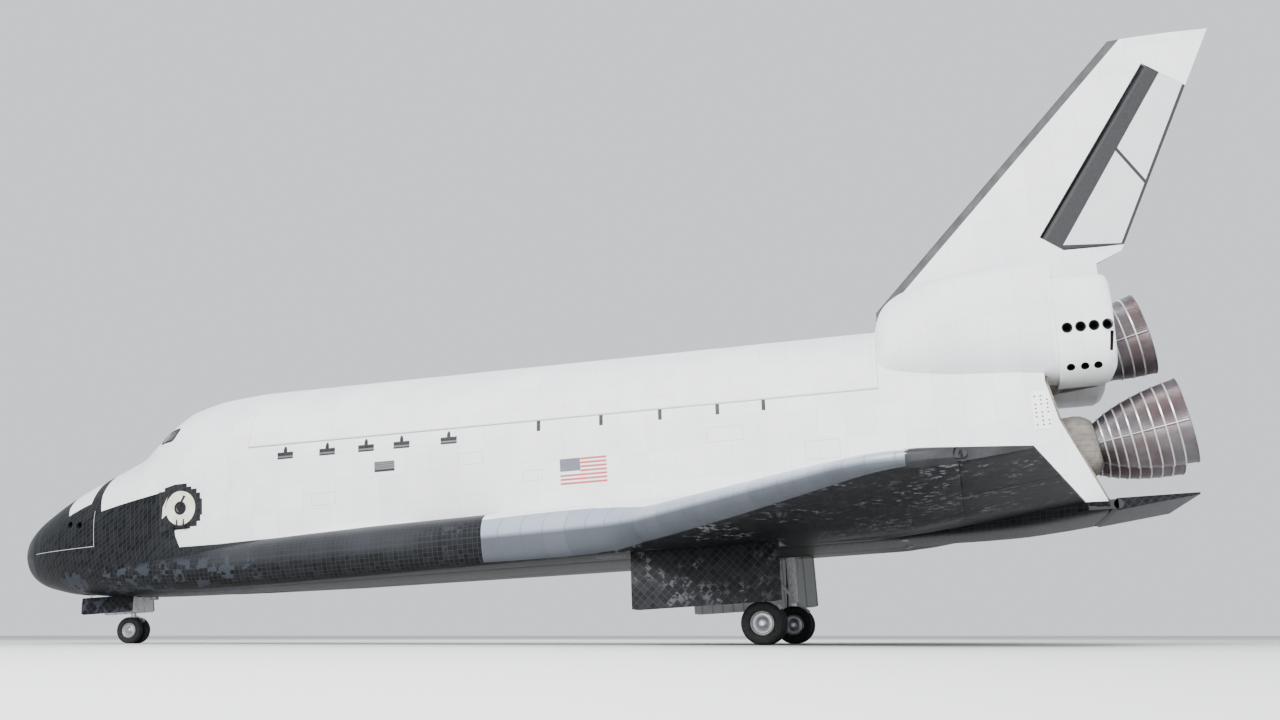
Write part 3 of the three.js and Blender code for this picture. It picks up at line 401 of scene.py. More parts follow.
def grained(shader, scale, detail, distance, strength):
    """Fine unevenness of the surface itself."""
    raised(shader, cloudy(station_place(shader), scale, detail), distance, strength)


def mottled(name, first, second, scale, detail=3, span=None, grain=None, **settings):
    """A finish that drifts between two tones in soft clouds."""
    finish, shader = fresh_finish(name, **settings)
    cloud = cloudy(station_place(shader), scale, detail)
    coloured(shader, mixed(spread(cloud, *span) if span else cloud, first, second))
    if grain:
        grained(shader, *grain)
    return finish


nose_carbon = mottled("nose_carbon", (0.018, 0.019, 0.021), (0.055, 0.057, 0.061), 0.06, 5, (0.35, 0.7),
                      (1.2, 2, 0.002, 0.3), roughness=0.45)
NOSE_CAP_END = 262
SEAT = 0.014


def nose_stations(start, end, step=0.42):
    """Stations spaced closely at the tip and wider aft."""
    low, high = math.sqrt(start - NOSE_TIP), math.sqrt(end - NOSE_TIP)
    count = max(2, round((high - low) / step))
    return [NOSE_TIP + (low + (high - low) * i / count) ** 2 for i in range(count + 1)]


cap_stations = nose_stations(NOSE_TIP + 0.01, NOSE_CAP_END, 0.3)
piece("nose_dome", ring_loft(cap_stations, body_ring), nose_carbon, "airframe", "grey_carbon", "nose_cap")

# Forward fuselage and thruster module
# Aluminium frames carry black glazed tiles below and white ones above. The thruster module is a
# separate black-tiled unit bolted in front of the cabin, with a pale seal round its joint.
SPLIT_HEIGHT = 330
FORWARD_RCS_END = 378
CABIN_END = 582
BLACK_LINE = [
    # station, height below which the side is black
    (235, 560), (317, 560), (318.5, 366), (330, 371), (347, 377), (362.5, 381.5), (363.5, 560),
    (375.5, 560), (376.5, 368.5), (409, 374), (439, 378.7), (464, 382.5), (487, 387), (487.6, 318),
    (543, 317.4), (623, 319), (701, 321), (778, 323.5), (875, 326), (970, 321), (1046, 315),
    (1150, 308), (1250, 302), (1390, 293), (1420, 290), (1530, 286),
]
LINE_SPAN, LINE_LOW, LINE_HIGH = (235, 1535), 240, 600
TILE = {"size": 6.0, "joint": 0.5}
COVER = {"size": 31.0, "joint": 0.35}
QUILT = {"size": 2.0, "joint": 0.5}
# The greyed tone is a painted sheen of sky light along the chine; the other tones are the tiles' own.
TONES = {
    "deep": (0.009, 0.0095, 0.011), "plain": (0.024, 0.0252, 0.0278), "greyed": (0.052, 0.055, 0.061),
    "bluish": (0.078, 0.09, 0.112), "worn": (0.24, 0.25, 0.27), "joint": (0.06, 0.062, 0.066),
}
WEAR_AND_SHEEN = {
    # where wear shows, and where a sky sheen is painted along the chine: low, high, fading over
    "chine_sheen_height": (296, 325, 10), "chine_sheen_run": (560, 1010, 120), "front_run": (320, 590, 20),
    "rows_run": (1000, 1170, 4), "rows_out": (112, 148, 2),
}


def apart(vector):
    node = new_node(vector, "SeparateXYZ")
    feed(node.inputs[0], vector)
    return [Varying(socket) for socket in node.outputs[:3]]


def highest(*values):
    return calc("MAXIMUM", *values)


def tile_places(near):
    """Where each point of the surface lies among the tiles, in inches."""
    return Varying(new_node(near, "UVMap", uv_map="tiles").outputs[0])


def tile_grid(spots, size, joint, turned=0.0):
    """Each square tile's shade, nearness to a joint between tiles, and distance from the tile's middle."""
    grid = new_node(spots, "Mapping")
    grid.inputs["Rotation"].default_value = (0, 0, math.radians(turned))
    grid.inputs["Scale"].default_value = (1 / size, 1 / size, 1)
    feed(grid.inputs["Vector"], spots)
    parts = []
    for operation in ("FLOOR", "FRACTION"):
        node = new_node(spots, "VectorMath", operation=operation)
        feed(node.inputs[0], Varying(grid.outputs[0]))
        parts.append(Varying(node.outputs[0]))
    cell, inside = parts
    shade = new_node(spots, "TexWhiteNoise")
    feed(shade.inputs["Vector"], cell)
    across, along, _ = apart(inside)
    reach = highest(abs(across - 0.5), abs(along - 0.5))
    nearness = spread(reach, 0.5 - joint / size, 0.5 - 0.3 * joint / size)
    return Varying(shade.outputs[0]), nearness, reach


def within(value, low, high, ease):
    """1 between low and high, fading to 0 over the ease on each side."""
    return spread(value, low - ease, low) * spread(value, high + ease, high)


def black_tile_colour(where, pale_share, turned=0.0, spots=None):
    """Black tiles: each a little different, greyed along the chine by a painted sheen of sky light, with pale
    worn ones in patches.
    """
    shade, joint, reach = tile_grid(spots or tile_places(where), **TILE, turned=turned)
    x, y, z = apart(where)
    out = abs(y)
    base = mixed(shade, TONES["deep"], TONES["plain"])
    # Painted sheen: the chine's tiles are greyed where sky light would make them look lighter.
    chine = within(z, *WEAR_AND_SHEEN["chine_sheen_height"]) * within(x, *WEAR_AND_SHEEN["chine_sheen_run"]) * spread(out, 165, 150)
    grey = chine * spread(cloudy(where, 0.012, 4), 0.3, 0.6, 0.5, 1.0)
    greyed = mixed(grey, base, TONES["greyed"])
    front = within(x, *WEAR_AND_SHEEN["front_run"]) * spread(z, 306, 298)
    blotch = cloudy(where, 0.05, 4) + shade * 0.16
    patched = mixed(front * (blotch > 0.64) * 0.55, greyed, TONES["bluish"])
    flecks = (shade > 1 - pale_share) * spread(cloudy(where, 0.02, 3), 0.47, 0.6)
    streak = cloudy(where, 0.3, 2) > 0.5
    scattered = flecks * (streak * spread(out, 150, 200))
    rows = within(x, *WEAR_AND_SHEEN["rows_run"]) * within(out, *WEAR_AND_SHEEN["rows_out"])
    dots = (reach < 0.3) * (shade > 0.3)
    pale = highest(scattered, rows * dots)
    speckled = mixed(pale * 0.85, patched, TONES["worn"])
    return mixed(joint * 0.6, speckled, TONES["joint"]), joint


def white_cover_colour(where):
    """White tiles and quilted blankets: faint seams between panels, and slight greying."""
    shade, seam, _ = tile_grid(tile_places(where), **COVER)
    cloud = cloudy(where, 0.02, 5)
    base = mixed(shade, (0.8, 0.805, 0.81), (0.845, 0.85, 0.855))
    greyed = mixed(spread(cloud, 0.4, 0.8, 0.0, 0.5), base, (0.66, 0.665, 0.67))
    return mixed(seam * 0.28, greyed, (0.42, 0.42, 0.42)), seam


def line_curve(x):
    """Height of the black and white boundary at a station."""
    curve = new_node(x, "FloatCurve")
    line = curve.mapping.curves[0]
    places = [((s - LINE_SPAN[0]) / (LINE_SPAN[1] - LINE_SPAN[0]), (h - LINE_LOW) / (LINE_HIGH - LINE_LOW))
              for s, h in BLACK_LINE]
    line.points[0].location = places[0]
    line.points[1].location = places[-1]
    for u, v in places[1:-1]:
        line.points.new(u, v)
    for point in line.points:
        point.handle_type = "VECTOR"
    curve.mapping.update()
    feed(curve.inputs["Value"], spread(x, *LINE_SPAN))
    return spread(Varying(curve.outputs[0]), 0, 1, LINE_LOW, LINE_HIGH)


def two_toned(shader, is_black, black, joint, white, seam):
    """Glazed black tiles where is_black is 1 and duller white covers elsewhere, with sunk joints."""
    coloured(shader, mixed(is_black, white, black))
    feed(shader.inputs["Roughness"], spread(is_black, 0, 1, 0.68, 0.42))
    raised(shader, -(joint * is_black + seam), 0.004, 0.5)


WEATHERED = 0.25
body_skin, shader = fresh_finish("tiled_skin", Specular_IOR_Level=WEATHERED)
where = station_place(shader)
x, _, z = apart(where)
white, seam = white_cover_colour(where)
quilt = tile_grid(tile_places(where), **QUILT)[1] * 0.25
two_toned(shader, z < line_curve(x), *black_tile_colour(where, 0.16), white, seam + quilt)


def sheared(shape, place, normal):
    """Cuts a closed shape with a plane, keeps the side away from the normal and closes the cut."""
    points, faces, *places = shape
    work = bmesh.new()
    made = [work.verts.new(point) for point in points]
    layer = work.loops.layers.uv.new("tiles")
    for index, face in enumerate(faces):
        new_face = work.faces.new([made[v] for v in face])
        if places:
            for loop, corner in zip(new_face.loops, places[0][index]):
                loop[layer].uv = corner
    parts = work.verts[:] + work.edges[:] + work.faces[:]
    cut = bmesh.ops.bisect_plane(work, geom=parts, plane_co=place, plane_no=normal, clear_outer=True)
    edges = [part for part in cut["geom_cut"] if isinstance(part, bmesh.types.BMEdge)]
    bmesh.ops.holes_fill(work, edges=edges, sides=0)
    work.verts.index_update()
    new_points = [tuple(v.co) for v in work.verts]
    new_faces = [tuple(v.index for v in face.verts) for face in work.faces]
    new_places = [[tuple(loop[layer].uv) for loop in face.loops] for face in work.faces]
    work.free()
    return new_points, new_faces, new_places


def solid_of(shape):
    made = bpy.data.objects.new("tool", mesh_of("tool", shape[:2]))
    bpy.context.scene.collection.objects.link(made)
    return made


def cut_by(made, tools, operation="DIFFERENCE"):
    """Applies the cuts of closed tools to a piece and removes the tools."""
    for tool in tools:
        cut = made.modifiers.new("cut", "BOOLEAN")
        cut.operation = operation
        cut.solver = "EXACT"
        cut.object = tool
    view = bpy.context.evaluated_depsgraph_get()
    result = bpy.data.meshes.new_from_object(made.evaluated_get(view))
    made.modifiers.clear()
    old = made.data
    made.data = result
    bpy.data.meshes.remove(old)
    for tool in tools:
        bpy.data.objects.remove(tool)
    made.data.shade_smooth()
    made.data.set_sharp_from_angle(angle=math.radians(SHARP))


def carved(made, cutters, operation="DIFFERENCE"):
    """Cuts closed shapes out of a piece, or keeps only what lies in them."""
    cut_by(made, [solid_of(cutter) for cutter in cutters], operation)


def block(x0, x1, y0, y1, z0, z1):
    points = [(x, y, z) for x in (x0, x1) for y in (y0, y1) for z in (z0, z1)]
    faces = [(0, 1, 3, 2), (4, 6, 7, 5), (0, 4, 5, 1), (2, 3, 7, 6), (0, 2, 6, 4), (1, 5, 7, 3)]
    return points, faces


def basis(direction):
    forward = Vector(direction).normalized()
    side = forward.orthogonal().normalized()
    return forward, side, forward.cross(side)


def spun(profile, origin, direction, sides=32):
    """Closed shape turned about a line; profile points are (distance along, radius)."""
    forward, side, up = basis(direction)
    origin = Vector(origin)
    closed = profile[0] == profile[-1]
    rows = profile[:-1] if closed else profile
    points, faces, places, index = [], [], [], []
    for along, radius in rows:
        count = sides if radius else 1
        index.append([len(points) + i % count for i in range(sides + 1)])
        for i in range(count):
            a = 2 * math.pi * i / sides
            points.append(tuple(origin + forward * along + (side * math.cos(a) + up * math.sin(a)) * radius))
    pairs = [(k, (k + 1) % len(rows)) for k in range(len(rows) if closed else len(rows) - 1)]
    for low, high in pairs:
        for i in range(sides):
            corners = [(low, i), (low, i + 1), (high, i + 1), (high, i)]
            kept = [(index[k][t], (rows[k][0], 360 * t / sides)) for k, t in corners]
            kept = [corner for n, corner in enumerate(kept) if corner[0] != kept[n - 1][0]]
            faces.append(tuple(vertex for vertex, _ in kept))
            places.append([place for _, place in kept])
    for k, flip in ((0, True), (len(rows) - 1, False)):
        if not closed and rows[k][1]:
            ring = index[k][:-1]
            faces.append(tuple(reversed(ring)) if flip else tuple(ring))
            places.append([(rows[k][0], 0)] * sides)
    return points, faces, places


def bar(start, end, radius, end_radius=None, sides=24, edge=0.12):
    """Round bar with eased ends."""
    reach = (Vector(end) - Vector(start)).length
    end_radius = radius if end_radius is None else end_radius
    ease = min(edge, radius * 0.3, reach * 0.2)
    profile = [(0, 0), (0, radius - ease), (ease, radius), (reach - ease, end_radius),
               (reach, end_radius - ease), (reach, 0)]
    return spun(profile, start, Vector(end) - Vector(start), sides)


def together(*shapes):
    points, faces = [], []
    for shape in shapes:
        start = len(points)
        points.extend(shape[0])
        faces.extend(tuple(v + start for v in face) for face in shape[1])
    return points, faces


def other_side(shape):
    """The starboard twin of a port shape."""
    points, faces, *places = shape
    flipped = [tuple(reversed(face)) for face in faces]
    twin = ([(x, -y, z) for x, y, z in points], flipped)
    return (*twin, [list(reversed(face)) for face in places[0]]) if places else twin


both_sides = (("left", lambda shape: shape), ("right", other_side))

NOSE_WELL = {"x0": 318, "x1": 392, "half": 21, "roof": 318}
lower_front = ring_loft(nose_stations(NOSE_CAP_END + SEAT, CABIN_END), body_ring)
lower_front = sheared(lower_front, (0, 0, SPLIT_HEIGHT), (0, 0, 1))
belly_front = piece("forward_lower_skin", lower_front, body_skin, "airframe", "black_tile",
                    "forward_fuselage_lower")
carved(belly_front, [block(NOSE_WELL["x0"], NOSE_WELL["x1"], -NOSE_WELL["half"], NOSE_WELL["half"], 200,
                           NOSE_WELL["roof"])])

module = ring_loft(nose_stations(NOSE_CAP_END + SEAT, FORWARD_RCS_END), body_ring)
module = sheared(module, (0, 0, SPLIT_HEIGHT + SEAT), (0, 0, -1))
module_skin = piece("forward_thruster_module", module, body_skin, "airframe", "black_tile",
                    "forward_rcs_module")
THRUSTERS = [(332, 358), (348, 356)]
TOP_THRUSTERS = [(300, 12), (312, 12), (324, 12)]
ports, throats = [], []
for x, z in THRUSTERS:
    for side in (-1, 1):
        ports.append(bar((x, side * 48, z), (x, side * 90, z), 4.2))
        throats.append(spun([(0, 1.4), (9, 3.6), (9.6, 3.9), (9.6, 4.15), (0, 4.15), (0, 1.4)],
                            (x, side * 52, z), (0, side, 0), 24))
for x, y in TOP_THRUSTERS:
    for side in (-1, 1):
        ports.append(bar((x, side * y, 360), (x, side * y, 430), 3.4))
carved(module_skin, ports)


def prism_faces(count):
    faces = [tuple(range(count))[::-1], tuple(range(count, 2 * count))]
    return faces + [(i, (i + 1) % count, count + (i + 1) % count, count + i) for i in range(count)]


def pushed(outline, axis, start, end):
    """Closed prism: an outline pushed along x, y or z; its points are the other two, in order."""
    area = sum(a[0] * b[1] - b[0] * a[1] for a, b in zip(outline, outline[1:] + outline[:1]))
    if (area > 0) == (axis == "y"):
        outline = outline[::-1]
    slot_of_axis = "xyz".index(axis)
    points = [(*p[:slot_of_axis], d, *p[slot_of_axis:]) for d in (start, end) for p in outline]
    return points, prism_faces(len(outline))


def port_prism(outline, inner=-60):
    """Prism through the port skin over an outline of (station, height) points."""
    return pushed(outline, "y", -140, inner)


def body_between(x0, x1, inset=0.0, step=0.3):
    return ring_loft(nose_stations(x0, x1, step), lambda x: body_ring(x, inset))


def shell_patch(name, x0, x1, insets, kept, finish, body, slot, *nodes, cleared=(), beyond=5):
    """Patch of skin between two insets from the fuselage's surface, kept inside closed shapes."""
    outer, inner = insets
    made = piece(name, body_between(x0, x1, outer), finish, body, slot, *nodes)
    carved(made, kept, "INTERSECT")
    carved(made, [*cleared, body_between(x0 - beyond, x1 + beyond, inner)])


def skin_marks(name, prisms, x0, x1, proud, finish, body="airframe", slot="black_tile"):
    """Thin tiles on the fuselage skin, cut to the outlines of closed prisms."""
    shell_patch(name, x0, x1, (-proud, SUNK), [together(*prisms)], finish, body, slot)


SUNK = 0.25
seal_paint = mottled("pale_seal", (0.36, 0.36, 0.35), (0.62, 0.62, 0.6), 0.4, roughness=0.6)
SEAL = 0.75
port_seals = [
    port_prism([(268, 328.4), (372, 328.4), (372, 328.4 + SEAL), (268, 328.4 + SEAL)], -20),
    port_prism([(371, 329.3), (371 + SEAL, 329.3), (371 + SEAL, 371), (371, 371)], -20),
]
skin_marks("module_seal", port_seals + [other_side(seal) for seal in port_seals], 263, 380, 0.12,
           seal_paint, slot="white_tile")

thruster_metal, shader = fresh_finish("thruster_throat", (0.03, 0.03, 0.032), 0.5, 0.4)
grained(shader, 0.8, 3, 0.002, 0.3)
piece("forward_thruster_throats", together(*throats), thruster_metal, "airframe", "black_tile")

# Crew cabin
# A welded aluminium pressure shell inside the white-tiled forward fuselage. Six windshield panes
# and two overhead panes are set in openings that black tiles frame.
CABIN_WALL = 4
WINDOWS = [
    # name, station, y, heading from forward towards port, climb, width, height
    ("windshield_centre", 441, -15, 0, 44, 25, 20),
    ("windshield_middle", 447, -43.5, 30, 40, 21.5, 18.5),
    ("windshield_side", 465, -68, 64, 36, 22, 16),
    ("overhead_window", 497, -21, 0, 83, 20, 22),
]
HATCH = {"x": 495, "z": 363, "radius": 20, "gap": 0.25}
DECK_DOOR = {"y": 14, "half": 6.5, "low": 462, "high": 475}


def skin_height(x, y):
    _, widest, top, half_width, _, upper = section_at(x)
    return widest + (top - widest) * (1 - (abs(y) / half_width) ** upper) ** (1 / upper)


def window_prism(row, grow, half_depth=11):
    """Rounded opening through the skin, along the window's own aim."""
    _, x, y, heading, climb, width, height = row
    turn, lift = math.radians(heading), math.radians(climb)
    out = Vector((-math.cos(turn) * math.cos(lift), -math.sin(turn) * math.cos(lift), math.sin(lift)))
    across = Vector((math.sin(turn), -math.cos(turn), 0))
    up = out.cross(across)
    centre = Vector((x, y, skin_height(x, y)))
    radius = 2.6 + grow
    corners = []
    for su, sv, start in ((1, 1, 0), (-1, 1, 90), (-1, -1, 180), (1, -1, 270)):
        for k in range(5):
            a = math.radians(start + 22.5 * k)
            corners.append((su * (width / 2 + grow - radius) + radius * math.cos(a),
                            sv * (height / 2 + grow - radius) + radius * math.sin(a)))
    points = [tuple(centre + across * u + up * v + out * d) for d in (-half_depth, half_depth)
              for u, v in corners]
    return points, prism_faces(len(corners))


hatch_slope = (section_at(HATCH["x"] + 10)[3] - section_at(HATCH["x"] - 10)[3]) / 20
hatch_out = Vector((-hatch_slope, -1, 0)).normalized()
hatch_along = Vector((1, -hatch_slope, 0)).normalized()
hatch_centre = Vector((HATCH["x"], -section_at(HATCH["x"])[3], HATCH["z"]))


def hatch_point(out, along, up):
    return tuple(hatch_centre + hatch_out * out + hatch_along * along + Vector((0, 0, up)))


def hatch_drill(reach, radius, sides):
    """Round cutter along the hatch's own centre line."""
    return bar(hatch_point(-reach, 0, 0), hatch_point(reach, 0, 0), radius, sides=sides, edge=0)


cabin = sheared(ring_loft(nose_stations(FORWARD_RCS_END + SEAT, CABIN_END, 0.3), body_ring),
                (0, 0, SPLIT_HEIGHT + SEAT), (0, 0, -1))
cabin_skin = piece("cabin_skin", cabin, body_skin, "airframe", "white_tile", "crew_cabin_shell")
cabin_room = sheared(body_between(418, 574, CABIN_WALL), (0, 0, SPLIT_HEIGHT + 6), (0, 0, -1))
openings = [window_prism(row, 0) for row in WINDOWS]
openings += [other_side(opening) for opening in openings]
openings.append(hatch_drill(14, HATCH["radius"] + HATCH["gap"], 48))
for side in (-1, 1):
    y = side * DECK_DOOR["y"]
    openings.append(block(560, 590, y - DECK_DOOR["half"], y + DECK_DOOR["half"], DECK_DOOR["low"],
                          DECK_DOOR["high"]))
carved(cabin_skin, [cabin_room] + openings)

window_glass, shader = fresh_finish("window_glass", (0.012, 0.014, 0.017), 0.06,
                                    Coat_Weight=0.4, Specular_IOR_Level=0.6)
grained(shader, 0.05, 1, 0.002, 0.05)
border_tile, shader = fresh_finish("window_border_tile")
coloured(shader, black_tile_colour(station_place(shader), 0.02)[0])
grained(shader, 0.6, 3, 0.002, 0.3)
WINDOW_REACH, WINDOW_BORDER = 24, 3.2
for row in WINDOWS:
    x0, x1 = row[1] - WINDOW_REACH, row[1] + WINDOW_REACH
    for side, turn in both_sides:
        shell_patch(f"{row[0]}_pane_{side}", x0, x1, (1.1, 2.3), [turn(window_prism(row, -0.05))],
                    window_glass, "airframe", "window_glass", f"{row[0]}_{side}")
        shell_patch(f"{row[0]}_border_{side}", x0, x1, (-0.2, SUNK), [turn(window_prism(row, WINDOW_BORDER))],
                    border_tile, "airframe", "black_tile", cleared=[turn(window_prism(row, 0))])

# Side hatch
# A round pale-painted door with a small dark window, framed by a stepped border of black tiles.
# It hangs on a short hinge pin below its rim and swings down.
hatch_paint = mottled("hatch_paint", (0.78, 0.79, 0.7), (0.6, 0.6, 0.47), 0.08, 4, (0.35, 0.7),
                      (0.9, 3, 0.002, 0.25), roughness=0.45)
HATCH_WINDOW = 5
PIN = {"out": 1.3, "drop": 22.4, "radius": 1.2, "half": 7, "lug": 1.4, "lug_radius": 2.6, "arm": 4.5}
hatch = piece("side_hatch", body_between(464, 526), hatch_paint, "crew_hatch", "hatch_paint", "crew_hatch")
carved(hatch, [hatch_drill(8, HATCH["radius"] - 0.2, 64)], "INTERSECT")
carved(hatch, [body_between(458, 532, CABIN_WALL), hatch_drill(12, HATCH_WINDOW, 32)])
window_ring = [(0, 5.0), (1.0, 5.0), (1.4, 5.6), (1.4, 7.2), (0.9, 7.8), (0, 7.8), (0, 5.0)]


def hinge_point(along):
    return hatch_point(PIN["out"], along, -PIN["drop"])


def hinge_bar(inner, outer, radius):
    """Round bar on the hatch's hinge line, between two distances along it."""
    return bar(hinge_point(inner), hinge_point(outer), radius)


hatch_arms = [bar(hinge_point(along), hatch_point(0.2, along, -13), 0.9, 0.7)
              for along in (-PIN["arm"], PIN["arm"])]
hatch_fittings = together(hinge_bar(-PIN["half"], PIN["half"], PIN["radius"]), *hatch_arms,
                          spun(window_ring, hatch_point(-0.5, 0, 0), hatch_out, 32))
piece("hatch_fittings", hatch_fittings, thruster_metal, "crew_hatch", "black_tile")
shell_patch("hatch_pane", 480, 510, (0.9, 2.2), [hatch_drill(12, HATCH_WINDOW - 0.05, 32)], window_glass,
            "crew_hatch", "window_glass", "hatch_window", beyond=6)
handle = [(492.6, 366), (495.8, 366), (502.2, 376.4), (499.4, 377.6)]
skin_marks("hatch_handle_recess", [port_prism(handle)], 480, 510, 0.12, border_tile, "crew_hatch")
BORDER = [(488.2, 391), (503.9, 391), (504, 387), (510, 387), (510, 384), (517, 384), (517, 379),
          (521.5, 379), (521.5, 372), (524, 372), (524, 353), (521.5, 353), (521.5, 346), (517, 346),
          (517, 340.5), (508, 340.5), (508, 338.2), (487.7, 338.2), (466, 338.2), (466, 384), (474, 384),
          (474, 388)]
shell_patch("hatch_border", 460, 530, (-0.16, SUNK), [port_prism(BORDER)], border_tile, "airframe",
            "black_tile", cleared=[hatch_drill(14, HATCH["radius"] + HATCH["gap"], 64)])
lugs = [hinge_bar(side * (PIN["half"] + SEAT), side * (PIN["half"] + PIN["lug"]), PIN["lug_radius"])
        for side in (-1, 1)]
piece("hatch_hinge_lugs", together(*lugs), thruster_metal, "airframe", "black_tile")
wedge = [(470, 352), (477.2, 357), (474.6, 366), (478, 377.5), (471.5, 366)]
skin_marks("hatch_wedge", [port_prism(wedge)], 462, 484, 0.3, hatch_paint, slot="hatch_paint")

# Flight deck
# Aluminium floor panels, a hooded instrument panel, a centre console and two padded seats on
# pedestals, all bolted inside the cabin shell. Two hatchways lead down through the floor.
DECK_TOP = 416


def eased_block(x0, x1, y0, y1, z0, z1, edge, steps=2):
    """Box with rounded edges."""
    work = bmesh.new()
    bmesh.ops.create_cube(work, size=1)
    for vertex in work.verts:
        vertex.co = Vector((x0 if vertex.co.x < 0 else x1, y0 if vertex.co.y < 0 else y1,
                            z0 if vertex.co.z < 0 else z1))
    bmesh.ops.bevel(work, geom=work.edges[:], offset=edge, segments=steps, affect="EDGES", profile=0.5)
    work.verts.index_update()
    shape = [tuple(v.co) for v in work.verts], [tuple(v.index for v in face.verts) for face in work.faces]
    work.free()
    return shape


def in_frame(frame, shape):
    points, faces, *_ = shape
    return [tuple(frame @ Vector(point)) for point in points], faces


def slanted(shape, place, angle):
    """Tips a shape back about a line across the cabin."""
    turn = (Matrix.Translation(place) @ Matrix.Rotation(math.radians(angle), 4, "Y")
            @ Matrix.Translation(-Vector(place)))
    return in_frame(turn, shape)


deck_paint = mottled("cockpit_grey", (0.14, 0.15, 0.16), (0.27, 0.28, 0.29), 0.5,
                     grain=(2.5, 2, 0.001, 0.3), roughness=0.55)
deck_floor = piece("flight_deck_floor", block(420, 573, -110, 110, DECK_TOP - 3, DECK_TOP), deck_paint,
                   "airframe", "cockpit_panels", "flight_deck")
hatchways = [block(542, 570, side * 52 - 14, side * 52 + 14, 400, 430) for side in (-1, 1)]
carved(deck_floor, [body_between(419, 574, CABIN_WALL + 0.05)], "INTERSECT")
carved(deck_floor, hatchways)
hood = [(446, 415), (458, 415), (458, 436), (456, 441), (451, 446.5), (444, 447), (442, 445.5), (445, 440)]
fittings = [pushed(hood, "y", -52, 52), eased_block(462, 488, -4.5, 4.5, 415, 428, 1)]
for row in range(3):
    for column in range(11):
        y = -45 + 9 * column
        fittings.append(eased_block(457.4, 458.6, y - 3.4, y + 3.4, 418 + 6 * row, 422.6 + 6 * row, 0.4, 1))
for k in range(8):
    fittings.append(bar((464 + 3 * k, -2, 427.5), (464 + 3 * k, -2, 429.6), 0.5, 0.35, 12))
for y in (-24, 24):
    fittings.append(eased_block(476, 492, y - 7, y + 7, 415, 424, 1.2))
piece("flight_deck_fittings", together(*fittings), deck_paint, "airframe", "cockpit_panels")
seat_cloth = mottled("seat_cloth", (0.1, 0.14, 0.2), (0.17, 0.21, 0.28), 3, 2,
                     grain=(8, 2, 0.001, 0.5), roughness=0.9)
for name, y in (("left", -24), ("right", 24)):
    cushions = together(eased_block(474, 493, y - 9, y + 9, 424, 430, 2.2, 3),
                        slanted(eased_block(489, 494.5, y - 8.5, y + 8.5, 429, 458, 2, 3), (491, y, 430), 14),
                        slanted(eased_block(489, 493.5, y - 5, y + 5, 458.5, 465, 1.8, 3), (491, y, 430), 14))
    cushion = piece(f"flight_seat_{name}", cushions, seat_cloth, "airframe", "cockpit_panels")

# Mid fuselage
# An open trough of aluminium frames, with white blankets above the tile line and black tiles
# below. Its inside is lined with quilted blankets between ribs; sills carry the bay doors.
BAY = {"start": 582, "end": 1307, "centre": 400, "radius": 92, "sill": 425.786, "wall": 88, "pitch": 29}


def off_middle(value, pitch):
    """How far a value lies from the middle of its repeat, from 0 to 0.5."""
    return abs(calc("FRACT", value / pitch) - 0.5)


liner, shader = fresh_finish("bay_liner", roughness=0.75)
where = station_place(shader)
fold = spread(off_middle(apart(where)[0], BAY["pitch"]), 0.47, 0.49)
puff = cloudy(where, 0.25, 3)
coloured(shader, mixed(fold * 0.7, mixed(puff, (0.52, 0.53, 0.52), (0.7, 0.71, 0.7)), (0.3, 0.3, 0.3)))
raised(shader, puff - fold, 0.02, 0.6)


def carved_lined(made, cutters, finish):
    """Cuts shapes out and gives the cut faces their own finish."""
    made.data.materials.append(finish)
    tools = [solid_of(cutter) for cutter in cutters]
    for tool in tools:
        for own in made.data.materials:
            tool.data.materials.append(own)
        tool.data.polygons.foreach_set("material_index",
                                       [len(made.data.materials) - 1] * len(tool.data.polygons))
    cut_by(made, tools)


def straight_body(x0, x1, inset=0.0):
    count = max(2, round((x1 - x0) / 45))
    return ring_loft([x0 + (x1 - x0) * i / count for i in range(count + 1)], lambda x: body_ring(x, inset))


BAY_CUT = {"start": 500, "end": 1400, "half": 300, "top": 700}


def over_bay(y0, y1, z0, z1=BAY_CUT["top"]):
    """Cutter that runs past both ends of the payload bay."""
    return block(BAY_CUT["start"], BAY_CUT["end"], y0, y1, z0, z1)


hollow_length = BAY["end"] - BAY["start"] + 40
bay_hollow = spun([(0, 0), (0, BAY["radius"]), (hollow_length, BAY["radius"]), (hollow_length, 0)],
                  (BAY["start"] - 20, 0, BAY["centre"]), (1, 0, 0), 96)
mid_skin = piece("mid_fuselage_skin", straight_body(BAY["start"] + 0.01, BAY["end"] - SEAT), body_skin,
                 "airframe", "white_tile", "mid_fuselage")
carved(mid_skin, [over_bay(-BAY_CUT["half"], BAY_CUT["half"], BAY["sill"])])
carved_lined(mid_skin, [bay_hollow, over_bay(-BAY["wall"], BAY["wall"], BAY["centre"], 600)], liner)
STRIP = {"y": 99.5, "half": 2.4, "depth": 2.2}
sill_strips = [eased_block(BAY["start"] + 0.1, BAY["end"] - 0.1, side * STRIP["y"] - STRIP["half"],
                           side * STRIP["y"] + STRIP["half"], BAY["sill"] - STRIP["depth"], BAY["sill"],
                           0.3, 1) for side in (-1, 1)]
rib_row = [(0, 91.9), (0, 88.6), (1.4, 88.2), (2.8, 88.6), (2.8, 91.9), (0, 91.9)]
ribs = [spun(rib_row, (BAY["start"] + BAY["pitch"] * k - 1.4, 0, BAY["centre"]), (1, 0, 0), 72)
        for k in range(1, 25)]
rib_piece = piece("bay_ribs", together(*ribs), liner, "airframe", "white_tile")
carved(rib_piece, [over_bay(-200, 200, BAY["centre"] + 20)])
bay_metal = mottled("bay_metal", (0.34, 0.36, 0.33), (0.5, 0.52, 0.5), 0.7, roughness=0.45, metallic=0.6)
piece("bay_sill_strips", together(*sill_strips), bay_metal, "airframe", "white_tile")

